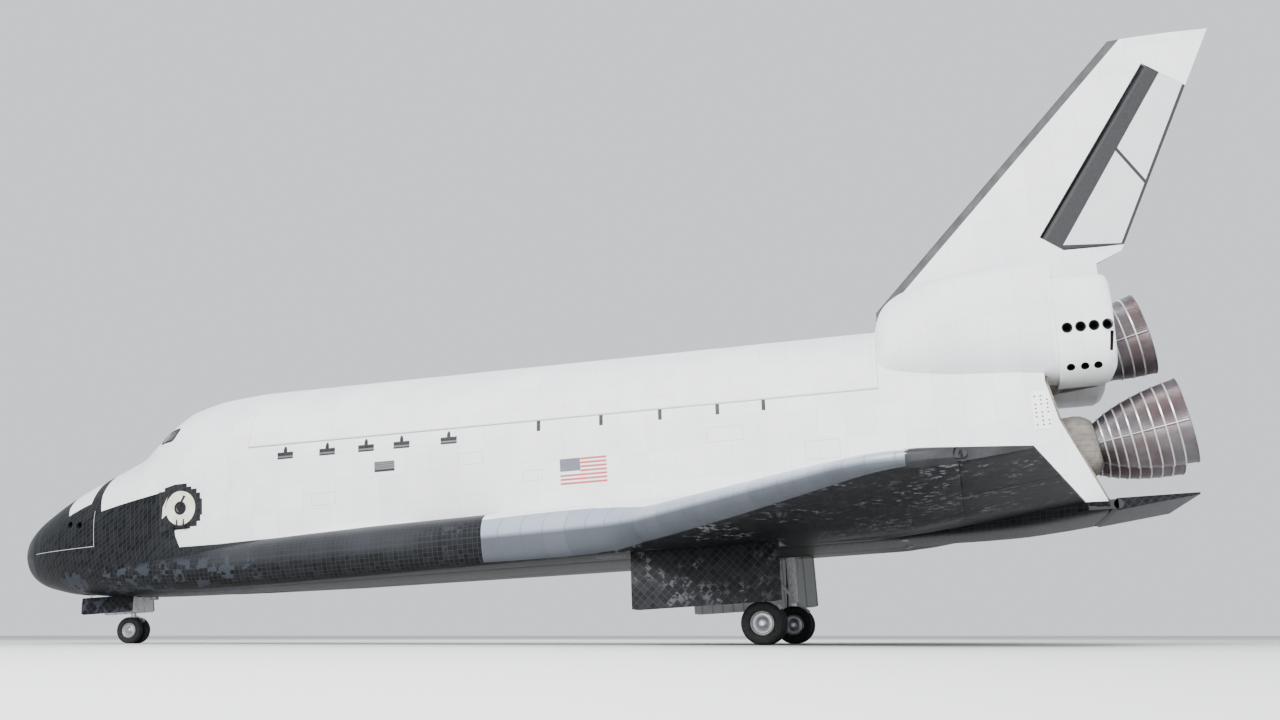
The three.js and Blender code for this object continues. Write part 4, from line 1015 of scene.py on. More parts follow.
# Payload bay doors
# Long graphite-epoxy shells with white blankets outside and silver radiators inside. Each turns
# on a row of hinges along the sill, drawn here as a rod with its knuckles.
DOOR = {"thickness": 5.5, "edge": 426.1, "hinge": 427, "rod": 1.2, "start": 582.3, "end": 1306.7}
HALF_GAP = 0.12
hinge_y = math.sqrt(105 ** 2 - (DOOR["hinge"] - BAY["centre"]) ** 2) + 0.35
radiator, shader = fresh_finish("silver_radiator", roughness=0.22, metallic=0.85)
where = station_place(shader)
x = apart(where)[0]
panel_edge = off_middle(x - BAY["start"], 90.6) > 0.487
coloured(shader, mixed(panel_edge, mixed(cloudy(where, 0.1, 2), (0.6, 0.62, 0.66), (0.8, 0.81, 0.83)),
                       (0.12, 0.12, 0.12)))
raised(shader, off_middle(x, 3.0), 0.004, 0.5)
hinge_cover = mottled("hinge_cover", (0.66, 0.665, 0.66), (0.78, 0.785, 0.78), 0.1, roughness=0.6)


def door_rod(x0, x1, radius):
    return bar((x0, -hinge_y, DOOR["hinge"]), (x1, -hinge_y, DOOR["hinge"]), radius)


for side, turn in both_sides:
    door = piece(f"bay_door_{side}", straight_body(DOOR["start"], DOOR["end"]), body_skin,
                 f"payload_bay_door_{side}", "white_tile", f"payload_bay_door_{side}")
    carved(door, [turn(over_bay(-BAY_CUT["half"], -HALF_GAP, DOOR["edge"]))], "INTERSECT")
    carved_lined(door, [straight_body(BAY_CUT["start"], BAY_CUT["end"], DOOR["thickness"])], radiator)
    rod = [door_rod(DOOR["start"], DOOR["end"], DOOR["rod"] - 0.2)]
    rod += [door_rod(x, x + 24, DOOR["rod"]) for x in np.arange(DOOR["start"] + 2, DOOR["end"] - 26, 30)]
    piece(f"bay_door_rod_{side}", turn(together(*rod)), hinge_cover, f"payload_bay_door_{side}", "white_tile")

# Aft fuselage
# A boxy engine compartment of aluminium and titanium frames under white tiles, black below. Its
# sloping base is open for the engines. Lugs at its foot carry the body flap.
TAIL_END = 1528.3
BASE_LINE = [(TAIL_END, 262), (TAIL_END, 285), (1490, 373), (1481, 416), (1484, 520)]
SHIELD_THICKNESS = 3
FLAP = {"x": 1534.7, "z": 283, "nose": 6, "tip": 1613, "half": 126, "clear": 0.25, "lug": 1.6}
PADS = {"radius": 5, "face": 265.4, "root": 271, "places": [(405, 0), (1318, -60), (1318, 60)]}


def behind_base(shift):
    return pushed([(x + shift, z) for x, z in BASE_LINE] + [(1620, 520), (1620, 262)], "y", -200, 200)


aft_stations = [BAY["end"] + (TAIL_END - BAY["end"]) * i / 26 for i in range(27)]
aft_skin = piece("aft_fuselage_skin", ring_loft(aft_stations, body_ring), body_skin, "airframe",
                 "white_tile", "aft_fuselage")
carved(aft_skin, [behind_base(-SHIELD_THICKNESS - SEAT)])
flap_lugs = []
for side in (-1, 1):
    near, far = [side * (FLAP["half"] + FLAP["clear"] + thick) for thick in (0, FLAP["lug"])]
    flap_lugs.append(bar((FLAP["x"], near, FLAP["z"]), (FLAP["x"], far, FLAP["z"]), 5))
    flap_lugs.append(eased_block(1505, FLAP["x"], min(near, far), max(near, far), FLAP["z"] - 4.5,
                                 FLAP["z"] + 5, 0.3, 1))
piece("body_flap_lugs", together(*flap_lugs), border_tile, "airframe", "black_tile")
pads = [bar((x, y, PADS["face"]), (x, y, PADS["root"]), PADS["radius"], sides=40) for x, y in PADS["places"]]
piece("attach_pads", together(*pads), bay_metal, "airframe", "white_tile")

# Base heat shield
# Quilted blankets and tiles cover the base. A round blanket dome seals the gap at each engine.
blanket, shader = fresh_finish("base_blanket", roughness=0.85)
where = station_place(shader)
stitch = spread(highest(*[off_middle(part, 6.0) for part in apart(where)[1:]]), 0.45, 0.5)
scorch = spread(cloudy(where, 0.035, 5), 0.35, 0.7)
quilted = mixed(scorch, (0.36, 0.335, 0.29), (0.14, 0.13, 0.12))
coloured(shader, mixed(stitch * 0.6, quilted, (0.09, 0.085, 0.08)))
raised(shader, cloudy(where, 0.5, 3) - stitch, 0.01, 0.6)
ENGINES = [
    # name, gimbal station, y, height, climb, outward
    ("top", 1445, 0, 441, 13, 0),
    ("left", 1468.2, -53, 342.6, 10, -3.5),
    ("right", 1468.2, 53, 342.6, 10, 3.5),
]


def nozzle_aim(climb, outward):
    lift, swing = math.radians(climb), math.radians(outward)
    return Vector((math.cos(lift) * math.cos(swing), math.cos(lift) * math.sin(swing), math.sin(lift)))


shield = piece("base_shield_plate", ring_loft([1400, 1440, 1490, 1510, TAIL_END], lambda x: body_ring(x, 7)),
               blanket, "airframe", "base_blanket", "base_heat_shield")
carved(shield, [behind_base(-SHIELD_THICKNESS)], "INTERSECT")
carved(shield, [behind_base(0)])
DOME = [(10, 0), (10, 36), (30, 35.4), (44, 34.1), (50, 32.4), (55, 29.4), (58.4, 26.2), (59.98, 24),
        (59.98, 0)]
for name, x, y, z, climb, outward in ENGINES:
    dome = piece(f"engine_dome_{name}", spun(DOME, (x, y, z), nozzle_aim(climb, outward), 72), blanket,
                 "airframe", "base_blanket")
    carved(dome, [behind_base(-1)], "INTERSECT")

# Main engine nozzles
# Bells brazed from many slim cooling tubes. Steel bands stiffen them outside, and pale pipes run
# down their length. They are silvery with a rosy heat tint, and sooty inside.
bell_metal, shader = fresh_finish("bell_metal", roughness=0.32, metallic=0.85)
tube = calc("PINGPONG", apart(tile_places(shader))[1] * 2.25, 0.5)
tint = cloudy(station_place(shader), 0.02, 4)
silver = mixed(spread(tint, 0.38, 0.62), (0.27, 0.26, 0.275), (0.2, 0.15, 0.15))
coloured(shader, mixed(spread(tube, 0.0, 0.3, 0.6, 0.0), silver, (0.05, 0.045, 0.045)))
raised(shader, tube, 0.01, 0.5)
band_metal = mottled("band_metal", (0.5, 0.49, 0.48), (0.7, 0.7, 0.7), 0.2, roughness=0.35, metallic=0.5)
soot = mottled("bell_soot", (0.03, 0.028, 0.026), (0.12, 0.1, 0.09), 0.05, 4, roughness=0.6, metallic=0.4)
BELL = np.array([[60, 22], [76, 29.6], [98, 36.8], [125, 42.4], [152, 45.4]])
BELL_WALL, BELL_SIDES = 1.6, 96
BANDS = (66, 74, 83, 93, 104, 115.5, 127, 138.5)
PIPE_TURNS, PIPE_START, PIPE_END = (20, 140, 262), 60.5, 150


def bell_radius(along):
    return eased(BELL[:, 0], BELL[:, 1], along)


def bell_curve(inset, start, end, count=26):
    places = [start + (end - start) * i / count for i in range(count + 1)]
    return [(place, bell_radius(place) - inset) for place in places]


def refinished(made, test, index=1):
    """Gives the faces that pass a test another of the piece's finishes."""
    for face in made.data.polygons:
        if test(face):
            face.material_index = index


for name, x, y, z, climb, outward in ENGINES:
    aim = nozzle_aim(climb, outward)
    outer = bell_curve(0.5, 60, 150.4)
    lip = [(150.4, 45.1), (151.2, 45.4), (152, 45.2), (152, 43.9)]
    inside = bell_curve(BELL_WALL, 64, 151)[::-1]
    throat = [(62.6, 19), (61.4, 13), (60.6, 12), (60.6, 0)]
    profile = [(60, 0)] + outer + lip + inside + throat
    bell = piece(f"engine_bell_{name}", spun(profile, (x, y, z), aim, BELL_SIDES), [bell_metal, soot],
                 "airframe", "nozzle_metal", f"main_engine_{name}", angle=50)
    first_inside = 1 + len(outer) + len(lip)
    refinished(bell, lambda face: face.index >= (first_inside - 1) * BELL_SIDES)
    bands = []
    for place in BANDS:
        radius = bell_radius(place) - 0.6
        bands.append(spun([(place - 0.9, radius), (place - 0.7, radius + 0.8), (place + 0.7, radius + 1.1),
                           (place + 0.9, radius + 0.3), (place - 0.9, radius)], (x, y, z), aim, BELL_SIDES))
    forward, across, up = basis(aim)
    for turn_angle in PIPE_TURNS:
        spoke = across * math.cos(math.radians(turn_angle)) + up * math.sin(math.radians(turn_angle))
        marks = [PIPE_START + (PIPE_END - PIPE_START) * i / 14 for i in range(15)]
        path = [Vector((x, y, z)) + forward * s + spoke * (bell_radius(s) + 0.35) for s in marks]
        bands += [bar(a, b, 0.55, sides=10, edge=0) for a, b in zip(path, path[1:])]
    piece(f"engine_bands_{name}", together(*bands), band_metal, "airframe", "nozzle_metal")

# Body flap
# A honeycomb flap below the engines, black tiled, white along its upper face's front edge.
# It turns on a hinge line between two lugs.
black_tiles, shader = fresh_finish("black_tiles", roughness=0.42, Specular_IOR_Level=WEATHERED)
colour, joint = black_tile_colour(station_place(shader), 0.3, 45.0)
coloured(shader, colour)
raised(shader, -joint, 0.004, 0.5)
white_covers, shader = fresh_finish("white_covers", roughness=0.65)
colour, seam = white_cover_colour(station_place(shader))
coloured(shader, colour)
raised(shader, -seam, 0.004, 0.4)
dark_panels = mottled("dark_panels", (0.03, 0.031, 0.034), (0.065, 0.066, 0.07), 0.05, 5, (0.3, 0.7),
                      (0.8, 3, 0.002, 0.3), Specular_IOR_Level=WEATHERED)


def flat_places(made):
    """Tile places on each face from the two station axes it faces least."""
    back = PLACE.inverted()
    mesh = made.data
    layer = mesh.uv_layers.get("tiles") or mesh.uv_layers.new(name="tiles")
    spots = [back @ vertex.co for vertex in mesh.vertices]
    values = []
    for face in mesh.polygons:
        facing = [abs(part) for part in face.normal]
        first, second = [axis for axis in range(3) if axis != facing.index(max(facing))]
        for vertex in face.vertices:
            values += [spots[vertex][first], spots[vertex][second]]
    layer.data.foreach_set("uv", values)


nose_arc = [(FLAP["x"] - FLAP["nose"] * math.sin(a), FLAP["z"] + FLAP["nose"] * math.cos(a))
            for a in np.linspace(0, math.pi, 25)]
flap_outline = nose_arc + [(FLAP["tip"] - 0.6, 286.5), (FLAP["tip"], 286.9), (FLAP["tip"], 288.1),
                           (FLAP["tip"] - 0.6, 288.5)]
body_flap = piece("body_flap_skin", pushed(flap_outline, "y", -FLAP["half"], FLAP["half"]),
                  [black_tiles, white_covers], "body_flap", "black_tile", "body_flap")
flat_places(body_flap)
refinished(body_flap, lambda face: face.normal.z > 0.3)
flap_pin = bar((FLAP["x"], -FLAP["half"] - 0.23, FLAP["z"]), (FLAP["x"], FLAP["half"] + 0.23, FLAP["z"]), 2.5)
piece("body_flap_pin", flap_pin, bay_metal, "body_flap", "black_tile")

# Rear pods
# Composite pods bolted over the shoulders, covered in white blankets. A boxier thruster housing
# of white tiles stands at the back of each, with four round thruster ports.
POD = np.array([
    # station, inner y, outer y, low, top, power
    [1308.3, -36, -92, 440, 497, 2.2],
    [1313, -28, -99, 436, 511, 2.2],
    [1322, -22, -105, 434, 523, 2.2],
    [1341, -16, -110, 432, 534, 2.3],
    [1370, -13, -115, 430, 542, 2.4],
    [1410, -12, -120, 428, 548, 2.5],
    [1455, -12, -126, 424, 550, 2.6],
    [1493.5, -12, -131, 418, 549, 2.8],
])
HOUSING = [
    (1493.6, -16, -134, 415, 528, 4), (1540, -18, -134, 415, 526, 4), (1548, -21, -131.5, 418.5, 522.5, 4),
    (1551, -24, -128, 424, 517, 4),
]
POD_PORTS = {"stations": (1504, 1517.4, 1530.6, 1544), "y": -118, "height": 465, "radius": 4.6}
LOW_PORTS = {"stations": (1504, 1518, 1531), "radius": 4.2}
PORT_RIM = [(15.2, 4.55), (16.2, 4.6), (16.35, 4.9), (16.2, 5.4), (15.2, 5.5), (15.2, 4.55)]
PORT_BELL = [(3, 1.6), (9, 2.6), (14.4, 4.1), (14.4, 4.4), (3, 4.4), (3, 1.6)]
TAIL_SLOT = [(1543.5, 438), (1546.5, 438), (1549.5, 458), (1546, 458)]


def pod_ring(inner, outer, low, top, exponent, count=64):
    """Rounded section as [y, z] points, from the keel round the outer side."""
    ring = []
    for i in range(count):
        a = -math.pi / 2 - 2 * math.pi * i / count
        c, s = math.cos(a), math.sin(a)
        ring.append(((inner + outer) / 2 + (inner - outer) / 2 * math.copysign(abs(c) ** (2 / exponent), c),
                     (low + top) / 2 + (top - low) / 2 * math.copysign(abs(s) ** (2 / exponent), s)))
    return np.array(ring)


pod_xs = [1308.3 + 185.2 * (i / 40) ** 1.7 for i in range(41)]
pod_rows = {x: [eased(POD[:, 0], POD[:, column], x) for column in range(1, 6)] for x in pod_xs}
pod_rows.update({row[0]: row[1:] for row in HOUSING})
pod_front = ring_loft(pod_xs, lambda x: pod_ring(*pod_rows[x]))
pod_back = ring_loft([row[0] for row in HOUSING], lambda x: pod_ring(*pod_rows[x]))
top_aim = nozzle_aim(ENGINES[0][4], 0)
top_gimbal = Vector((ENGINES[0][1], 0, ENGINES[0][3]))
engine_room = bar(top_gimbal - top_aim * 20, top_gimbal + top_aim * 162, 37, 49, sides=48, edge=0)
aft_solid = sheared(ring_loft(aft_stations, lambda x: body_ring(x, -SEAT)), (1478, 0, 416), (1, 0, 0))
port_drills = [bar((x, POD_PORTS["y"], POD_PORTS["height"]), (x, -150, POD_PORTS["height"]),
                   POD_PORTS["radius"], edge=0) for x in POD_PORTS["stations"]]
port_drills += [bar((x, -116, 437), (x, -142, 405), LOW_PORTS["radius"], edge=0)
                for x in LOW_PORTS["stations"]]
port_drills.append(pushed(TAIL_SLOT, "y", -150, -126))
for side, turn in both_sides:
    front = piece(f"pod_body_{side}", turn(pod_front), white_covers, "airframe", "white_tile",
                  f"oms_pod_{side}")
    carved(front, [aft_solid, engine_room])
    housing = piece(f"pod_housing_{side}", turn(pod_back), white_covers, "airframe", "white_tile")
    carved(housing, [aft_solid, engine_room])
    carved_lined(housing, [turn(drill) for drill in port_drills], thruster_metal)
    rims, bells = [[turn(spun(profile, (x, POD_PORTS["y"], POD_PORTS["height"]), (0, -1, 0), sides))
                    for x in POD_PORTS["stations"]] for profile, sides in ((PORT_RIM, 32), (PORT_BELL, 24))]
    piece(f"pod_port_rims_{side}", together(*rims, *bells), thruster_metal, "airframe", "black_tile")

# Tail fin
# An aluminium box under white tiles, bolted over the aft fuselage. Dark grey tiles cover its
# leading edge, and the rudder's bay is cut into its back.
FIN = {"root": 500, "tip": 815.7, "root_x": 1278, "root_chord": 268.5, "tip_chord": 108.5, "wedge": 0.035}
FIN_SECTION = np.array([[0, 0.04], [0.012, 0.28], [0.045, 0.52], [0.12, 0.8], [0.3, 1], [0.6, 1], [1, 0.04]])
FIN_SHARES = [0, 0.001, 0.003, 0.006, 0.012, 0.02, 0.032, 0.045, 0.07, 0.12, 0.2, 0.3, 0.6, 1]
FIN_SPACE = {"half": 60, "low": 400, "high": 900}
RUDDER = {"low": 590, "high": 779, "foot": 577.5, "foot_gap": 1.15, "shaft": 1.6, "hinge": 0.6, "clear": 0.25}


def skin_loft(rings, place_of):
    """Closed skin through rings of 3-D points; place_of gives each point's tile place."""
    count = len(rings[0])
    points = [tuple(point) for ring in rings for point in ring]
    faces = [(r + i, r + (i + 1) % count, r + count + (i + 1) % count, r + count + i)
             for r in range(0, (len(rings) - 1) * count, count) for i in range(count)]
    last = (len(rings) - 1) * count
    faces += [tuple(range(count - 1, -1, -1)), tuple(range(last, last + count))]
    return points, faces, [[place_of(points[v]) for v in face] for face in faces]


def fin_chord(height):
    share = (height - FIN["root"]) / (FIN["tip"] - FIN["root"])
    return FIN["root_chord"] + share * (FIN["tip_chord"] - FIN["root_chord"])


def fin_edge(height):
    return FIN["root_x"] + height - FIN["root"]


def fin_ring(height):
    chord = fin_chord(height)
    half = [np.interp(share, FIN_SECTION[:, 0], FIN_SECTION[:, 1]) * FIN["wedge"] * chord
            for share in FIN_SHARES]
    half[1:4] = [half[4] * math.sqrt(share / FIN_SHARES[4]) for share in FIN_SHARES[1:4]]
    starboard = [(fin_edge(height) + share * chord, thick, height) for share, thick in zip(FIN_SHARES, half)]
    return starboard + [(x, -y, z) for x, y, z in starboard[::-1]]


def nose_region(frame, low_radius, high_radius, low, high, step=0.0, reach=200, half=60):
    """Room behind a hinge line: a round nose in front and a wide slab behind, along the hinge."""
    rings = []
    for z, radius in ((low, low_radius), (high, high_radius)):
        lift = math.sqrt(radius ** 2 - step ** 2)
        first = math.atan2(lift, step)
        turns = np.linspace(first, 2 * math.pi - first, 33)
        arc = [(radius * math.cos(a), radius * math.sin(a)) for a in turns]
        outline = [(reach, half), (step, half)] + arc + [(step, -half), (reach, -half)]
        rings.append([tuple(frame @ Vector((x, y, z))) for x, y in outline])
    return skin_loft(rings, lambda point: (0, 0))


def fin_hinge(height):
    return Vector((fin_edge(height) + RUDDER["hinge"] * fin_chord(height), 0, height))


rudder_foot = fin_hinge(RUDDER["low"])
rudder_axis = (fin_hinge(RUDDER["high"]) - rudder_foot).normalized()
rudder_length = (fin_hinge(RUDDER["high"]) - rudder_foot).length
rudder_frame = Matrix(((rudder_axis.z, 0, rudder_axis.x, rudder_foot.x), (0, 1, 0, 0),
                       (-rudder_axis.x, 0, rudder_axis.z, rudder_foot.z), (0, 0, 0, 1)))
rudder_noses = [FIN["wedge"] * fin_chord(RUDDER[end]) * 0.97 for end in ("low", "high")]
fin_heights = (478, 500, 560, 640, 720, 780, 812.7, 815, FIN["tip"])
whole_fin = skin_loft([fin_ring(height) for height in fin_heights], lambda point: (point[0], point[2]))

fin_covers, shader = fresh_finish("fin_covers", roughness=0.62)
where = station_place(shader)
x, _, z = apart(where)
colour, seam = white_cover_colour(where)
from_edge = x - z - (FIN["root_x"] - FIN["root"])
edge_band = from_edge < 13
grey_tile = mixed(spread(cloudy(where, 0.06, 5), 0.3, 0.7), (0.065, 0.067, 0.07), (0.11, 0.11, 0.115))
coloured(shader, mixed(edge_band, colour, grey_tile))
raised(shader, -seam, 0.004, 0.4)


def fin_block(x0, x1, y1=FIN_SPACE["half"]):
    """Cutter that is higher and, on the port side, wider than the fin."""
    return block(x0, x1, -FIN_SPACE["half"], y1, FIN_SPACE["low"], FIN_SPACE["high"])


rudder_room = block(-rudder_noses[0] - RUDDER["clear"], 200, -FIN_SPACE["half"], FIN_SPACE["half"], 0,
                    rudder_length)
rudder_room = sheared(in_frame(rudder_frame, rudder_room), (0, 0, RUDDER["foot"]), (0, 0, -1))
FIN_FOOT = [(1553, 470), (1553, 559), (1581, 571.2), (1700, 571.2), (1700, 470)]
fin_cut = pushed(FIN_FOOT, "y", -FIN_SPACE["half"], FIN_SPACE["half"])
fin = piece("tail_fin", whole_fin, [fin_covers, dark_panels], "airframe", "white_tile", "vertical_fin")
carved(fin, [rudder_room, fin_cut, engine_room, fin_block(1200, BAY["end"] + 0.25), aft_solid,
             straight_body(1240, 1310, -SEAT)])
refinished(fin, lambda face: abs(face.normal.y) < 0.15 and face.normal.x > 0.3)

# Split rudder
# Two half panels on one shaft. They swing together as the rudder and apart as a speed brake. Each
# has a dark band along its front, dark edges and one slanted joint.
steel, shader = fresh_finish("bare_steel", (0.55, 0.56, 0.58), metallic=0.9)
feed(shader.inputs["Roughness"], spread(cloudy(station_place(shader), 0.6, 3), 0.3, 0.7, 0.22, 0.42))
shaft = in_frame(rudder_frame, bar((0, 0, SEAT), (0, 0, rudder_length - SEAT), RUDDER["shaft"], sides=32))
piece("rudder_shaft_rod", shaft, steel, "rudder", "bare_steel", "rudder_shaft")
web_front = 0.2 - rudder_noses[0]
web_outline = [(web_front, 0.3), (-RUDDER["shaft"], 0.3), (-RUDDER["shaft"], rudder_length - 0.3),
               (web_front, rudder_length - 0.3)]
web = in_frame(rudder_frame, pushed(web_outline, "y", -0.05, 0.05))
piece("rudder_shaft_web", web, dark_panels, "rudder", "bare_steel")
rudder_covers, shader = fresh_finish("rudder_covers", roughness=0.6)
where = station_place(shader)
x, _, z = apart(where)
panel_white = mixed(cloudy(where, 0.03, 4), (0.6, 0.61, 0.62), (0.72, 0.725, 0.73))
panel_dark = mixed(cloudy(where, 0.3, 4), (0.032, 0.032, 0.034), (0.06, 0.06, 0.063))


def line_gap(x, z, first, second, half):
    """1 where a point lies within half of the line through two (x, z) points."""
    run = Vector((second[0] - first[0], second[1] - first[1])).normalized()
    reach = (x - first[0]) * -run.y + (z - first[1]) * run.x
    return abs(reach) < half


def beyond_line(x, z, first, second):
    """1 on the aft side of a line that climbs from the first (x, z) point to the second."""
    run = (second[0] - first[0]) / (second[1] - first[1])
    edge = (z - first[1]) * run + first[0]
    return x > edge


def fin_share(height, share):
    return fin_edge(height) + share * fin_chord(height), height


front_band = 1 - beyond_line(x, z, fin_share(578, 0.7), fin_share(779, 0.735))
back_edge = beyond_line(x, z, fin_share(578, 0.985), fin_share(779, 0.97))
foot_edge = z < (1560 - x) * 0.055 + (RUDDER["foot"] + 3.5)
slant = line_gap(x, z, fin_share(686, 0.72), fin_share(644, 1), 1.8)
dark = highest(highest(front_band, back_edge), highest(foot_edge, slant))
coloured(shader, mixed(dark, panel_white, panel_dark))
raised(shader, dark, 0.003, 0.5)
gap = RUDDER["clear"]
panel_room = nose_region(rudder_frame, *rudder_noses, gap, rudder_length - gap)
shaft_room = in_frame(rudder_frame, bar((0, 0, -1), (0, 0, rudder_length + 1), RUDDER["shaft"] + 2 * SEAT,
                                        sides=32, edge=0))
nose_wedge = in_frame(rudder_frame, pushed([(0, 0), (-30, 32), (-30, -32)], "z", -1, rudder_length + 1))
for side, turn in both_sides:
    panel = piece(f"rudder_half_{side}", whole_fin, rudder_covers, f"speed_brake_{side}", "white_tile",
                  f"rudder_panel_{side}")
    carved(panel, [panel_room], "INTERSECT")
    carved(panel, [turn(fin_block(1300, 1800, -HALF_GAP))], "INTERSECT")
    carved(panel, [shaft_room, nose_wedge,
                   block(1400, 1800, -100, 100, 400, RUDDER["foot"] + RUDDER["foot_gap"])])

# Wings
# Swept double-delta wings with aluminium ribs: black tiles under, white covers on top, and pale
# flecks of worn tile below. The wheel wells open down, and the elevons' bay is cut at the back.
WING = np.array([
    # y, leading edge, its height, underside, greatest height
    [70, 376, 297, 268, 320],
    [87, 424, 297, 267.5, 322],
    [105, 505, 297, 267, 324],
    [146.5, 762, 297, 267.5, 323],
    [172, 923, 297, 268, 322],
    [180.5, 968.7, 297, 268.3, 321.5],
    [190, 1004.8, 297, 268.7, 321],
    [200.5, 1031.2, 296.7, 269.4, 320.5],
    [212, 1048, 296.3, 270.2, 320],
    [224, 1060, 296, 271, 319.5],
    [312.5, 1148.5, 300, 281, 318.5],
    [411, 1247, 305.5, 293.5, 317.5],
    [447, 1283, 307, 297.5, 316.5],
    [460, 1303, 307.6, 299.5, 315.5],
    [466, 1322, 308, 302, 313.5],
    [468.3, 1345, 308.2, 304.5, 311.5],
])
WING_SHARES = [0.0006, 0.002, 0.0045, 0.008, 0.0125, 0.018, 0.026, 0.036, 0.05, 0.07, 0.095, 0.13, 0.18,
               0.25, 0.35, 0.45, 0.6, 0.7, 0.8, 0.9]
WING_BACK = {"station": 1525.24, "sweep": 0.17732, "height": 279.4, "rise": 0.06116, "half_edge": 1}


def wing_bulge(share, span):
    """Share of the wing's thickness that its round front has reached."""
    return 1 if share >= span else math.sqrt(1 - (1 - share / span) ** 3)


def wing_ring(y):
    front, front_z, under, over = [np.interp(y, WING[:, 0], WING[:, column]) for column in range(1, 5)]
    chord = WING_BACK["station"] - WING_BACK["sweep"] * y - front
    edge = WING_BACK["height"] + WING_BACK["rise"] * y
    rise_start = 0.8 - 0.2 * min(1, max(0, (y - 105) / 119))
    half_edge = WING_BACK["half_edge"]
    upper, lower = [(0, front_z)], []
    for share in WING_SHARES:
        fall = ((share - 0.35) / 0.65) ** 1.15 if share > 0.35 else 0
        bulge = front_z + (over - front_z) * wing_bulge(share, 0.35)
        upper.append((share, bulge - fall * (over - edge - half_edge)))
        rise = max(0, (share - rise_start) / (1 - rise_start))
        bulge = front_z - (front_z - under) * wing_bulge(share, 0.15)
        lower.append((share, bulge + rise * (edge - half_edge - under)))
    outline = upper + [(1, edge + half_edge), (1, edge - half_edge)] + lower[::-1]
    return [(front + share * chord, -y, z) for share, z in outline]


wing_ys = sorted(set(WING[:, 0]) | {78, 96, 116, 126, 136, 157, 165, 176, 185, 195, 206, 218, 240, 260, 280,
                                    300, 330, 350, 370, 390, 430, 454, 463, 467.4})
whole_wing = skin_loft([wing_ring(y) for y in wing_ys], lambda point: (point[0], point[1]))
CARBON = {"start": 880, "end": 1341}


def carbon_room(grow):
    """Upright prism round the carbon leading edge, grown by a gap."""
    curve = [(924, -163.4), (971, -170.7), (1008, -178.5), (1037, -189), (1056.5, -201), (1075, -219)]
    outline = [(CARBON["start"] - grow, -157.5 + 1.2 * grow),
               *[(x + grow, y + grow) for x, y in curve],
               (1303 + 1.5 * grow, -447), (1322 + 1.5 * grow, -459.5 + grow),
               (CARBON["end"] + grow, -463.5 + grow), (CARBON["end"] + grow, -500), (1240, -500),
               (CARBON["start"] - grow, -300)]
    return pushed(outline, "z", 150, 400)


hinge_in, hinge_out = Vector((1387, -133.8, 286.6)), Vector((1387, -466.5, 307.4))
hinge_length = (hinge_out - hinge_in).length
hinge_axis = (hinge_out - hinge_in).normalized()
hinge_up = hinge_axis.cross(Vector((1, 0, 0)))
elevon_frame = Matrix(((1, hinge_up.x, hinge_axis.x, hinge_in.x), (0, hinge_up.y, hinge_axis.y, hinge_in.y),
                       (0, hinge_up.z, hinge_axis.z, hinge_in.z), (0, 0, 0, 1)))
ELEVON = {"split": 179, "lug": 1.2, "clear": 0.25, "inner": 15.2, "middle": 11.4, "outer": 7.4}
MAIN_WELL = {"x0": 1042, "x1": 1198, "y0": -168, "y1": -109, "roof": 303.5}
taper = (ELEVON["middle"] - ELEVON["outer"]) / (hinge_length - ELEVON["split"])
NOSES = [(0, ELEVON["inner"]), (ELEVON["split"], ELEVON["middle"]), (hinge_length, ELEVON["outer"]),
         (hinge_length + 10, ELEVON["outer"] - 10 * taper)]


def nose_at(along):
    """Radius of the elevons' round nose at a distance along the hinge."""
    return float(np.interp(along, *zip(*NOSES)))


elevon_rooms = []
for low, high in ((0, ELEVON["split"]), (ELEVON["split"] - 0.01, hinge_length + 10)):
    radii = [nose_at(along) + ELEVON["clear"] for along in (low, high)]
    elevon_rooms.append(nose_region(elevon_frame, *radii, low, high, step=-4))

body_gap = ring_loft(nose_stations(300, 1307, 0.5) + aft_stations[1:], lambda x: body_ring(x, -SEAT))
well_cut = block(MAIN_WELL["x0"], MAIN_WELL["x1"], MAIN_WELL["y0"], MAIN_WELL["y1"], 150, MAIN_WELL["roof"])
well_paint, shader = fresh_finish("well_lining", roughness=0.6)
where = station_place(shader)
frame_line = spread(off_middle(apart(where)[0], 13), 0.44, 0.47)
coloured(shader, mixed(frame_line, mixed(cloudy(where, 0.1, 4), (0.42, 0.45, 0.38), (0.6, 0.62, 0.56)),
                       (0.25, 0.27, 0.22)))
raised(shader, frame_line, 0.01, 0.6)
wing_skin, shader = fresh_finish("wing_tiles", Specular_IOR_Level=WEATHERED)
where = station_place(shader)
x, y, z = apart(where)
lift = apart(Varying(new_node(shader, "NewGeometry").outputs["Normal"]))[2]
glove = x < CARBON["start"]
is_black = highest(lift < 0.2, glove * (z < line_curve(x)))
out = abs(y)
round_edge = x * 0.16 + abs(z - 297) - out
diagonals = [calc(kind, x, out) * math.sqrt(0.5) for kind in ("ADD", "SUBTRACT")]
spots = new_node(shader, "CombineXYZ")
for socket, diagonal, straight in zip(spots.inputs, diagonals, (x, round_edge)):
    feed(socket, spread(glove, 0, 1, diagonal, straight))
two_toned(shader, is_black, *black_tile_colour(where, 0.34, spots=Varying(spots.outputs[0])),
          *white_cover_colour(where))
lugs = []
for along in (ELEVON["split"] - ELEVON["lug"] / 2, hinge_length - ELEVON["lug"] - 0.4):
    lugs.append(in_frame(elevon_frame, bar((0, 0, along), (0, 0, along + ELEVON["lug"]), 3.6)))
    lugs.append(in_frame(elevon_frame, block(-24, 0, -3.5, 3.5, along, along + ELEVON["lug"])))
TIP_BAND = 460
tip_front = station(CARBON["end"], 0, 300).x
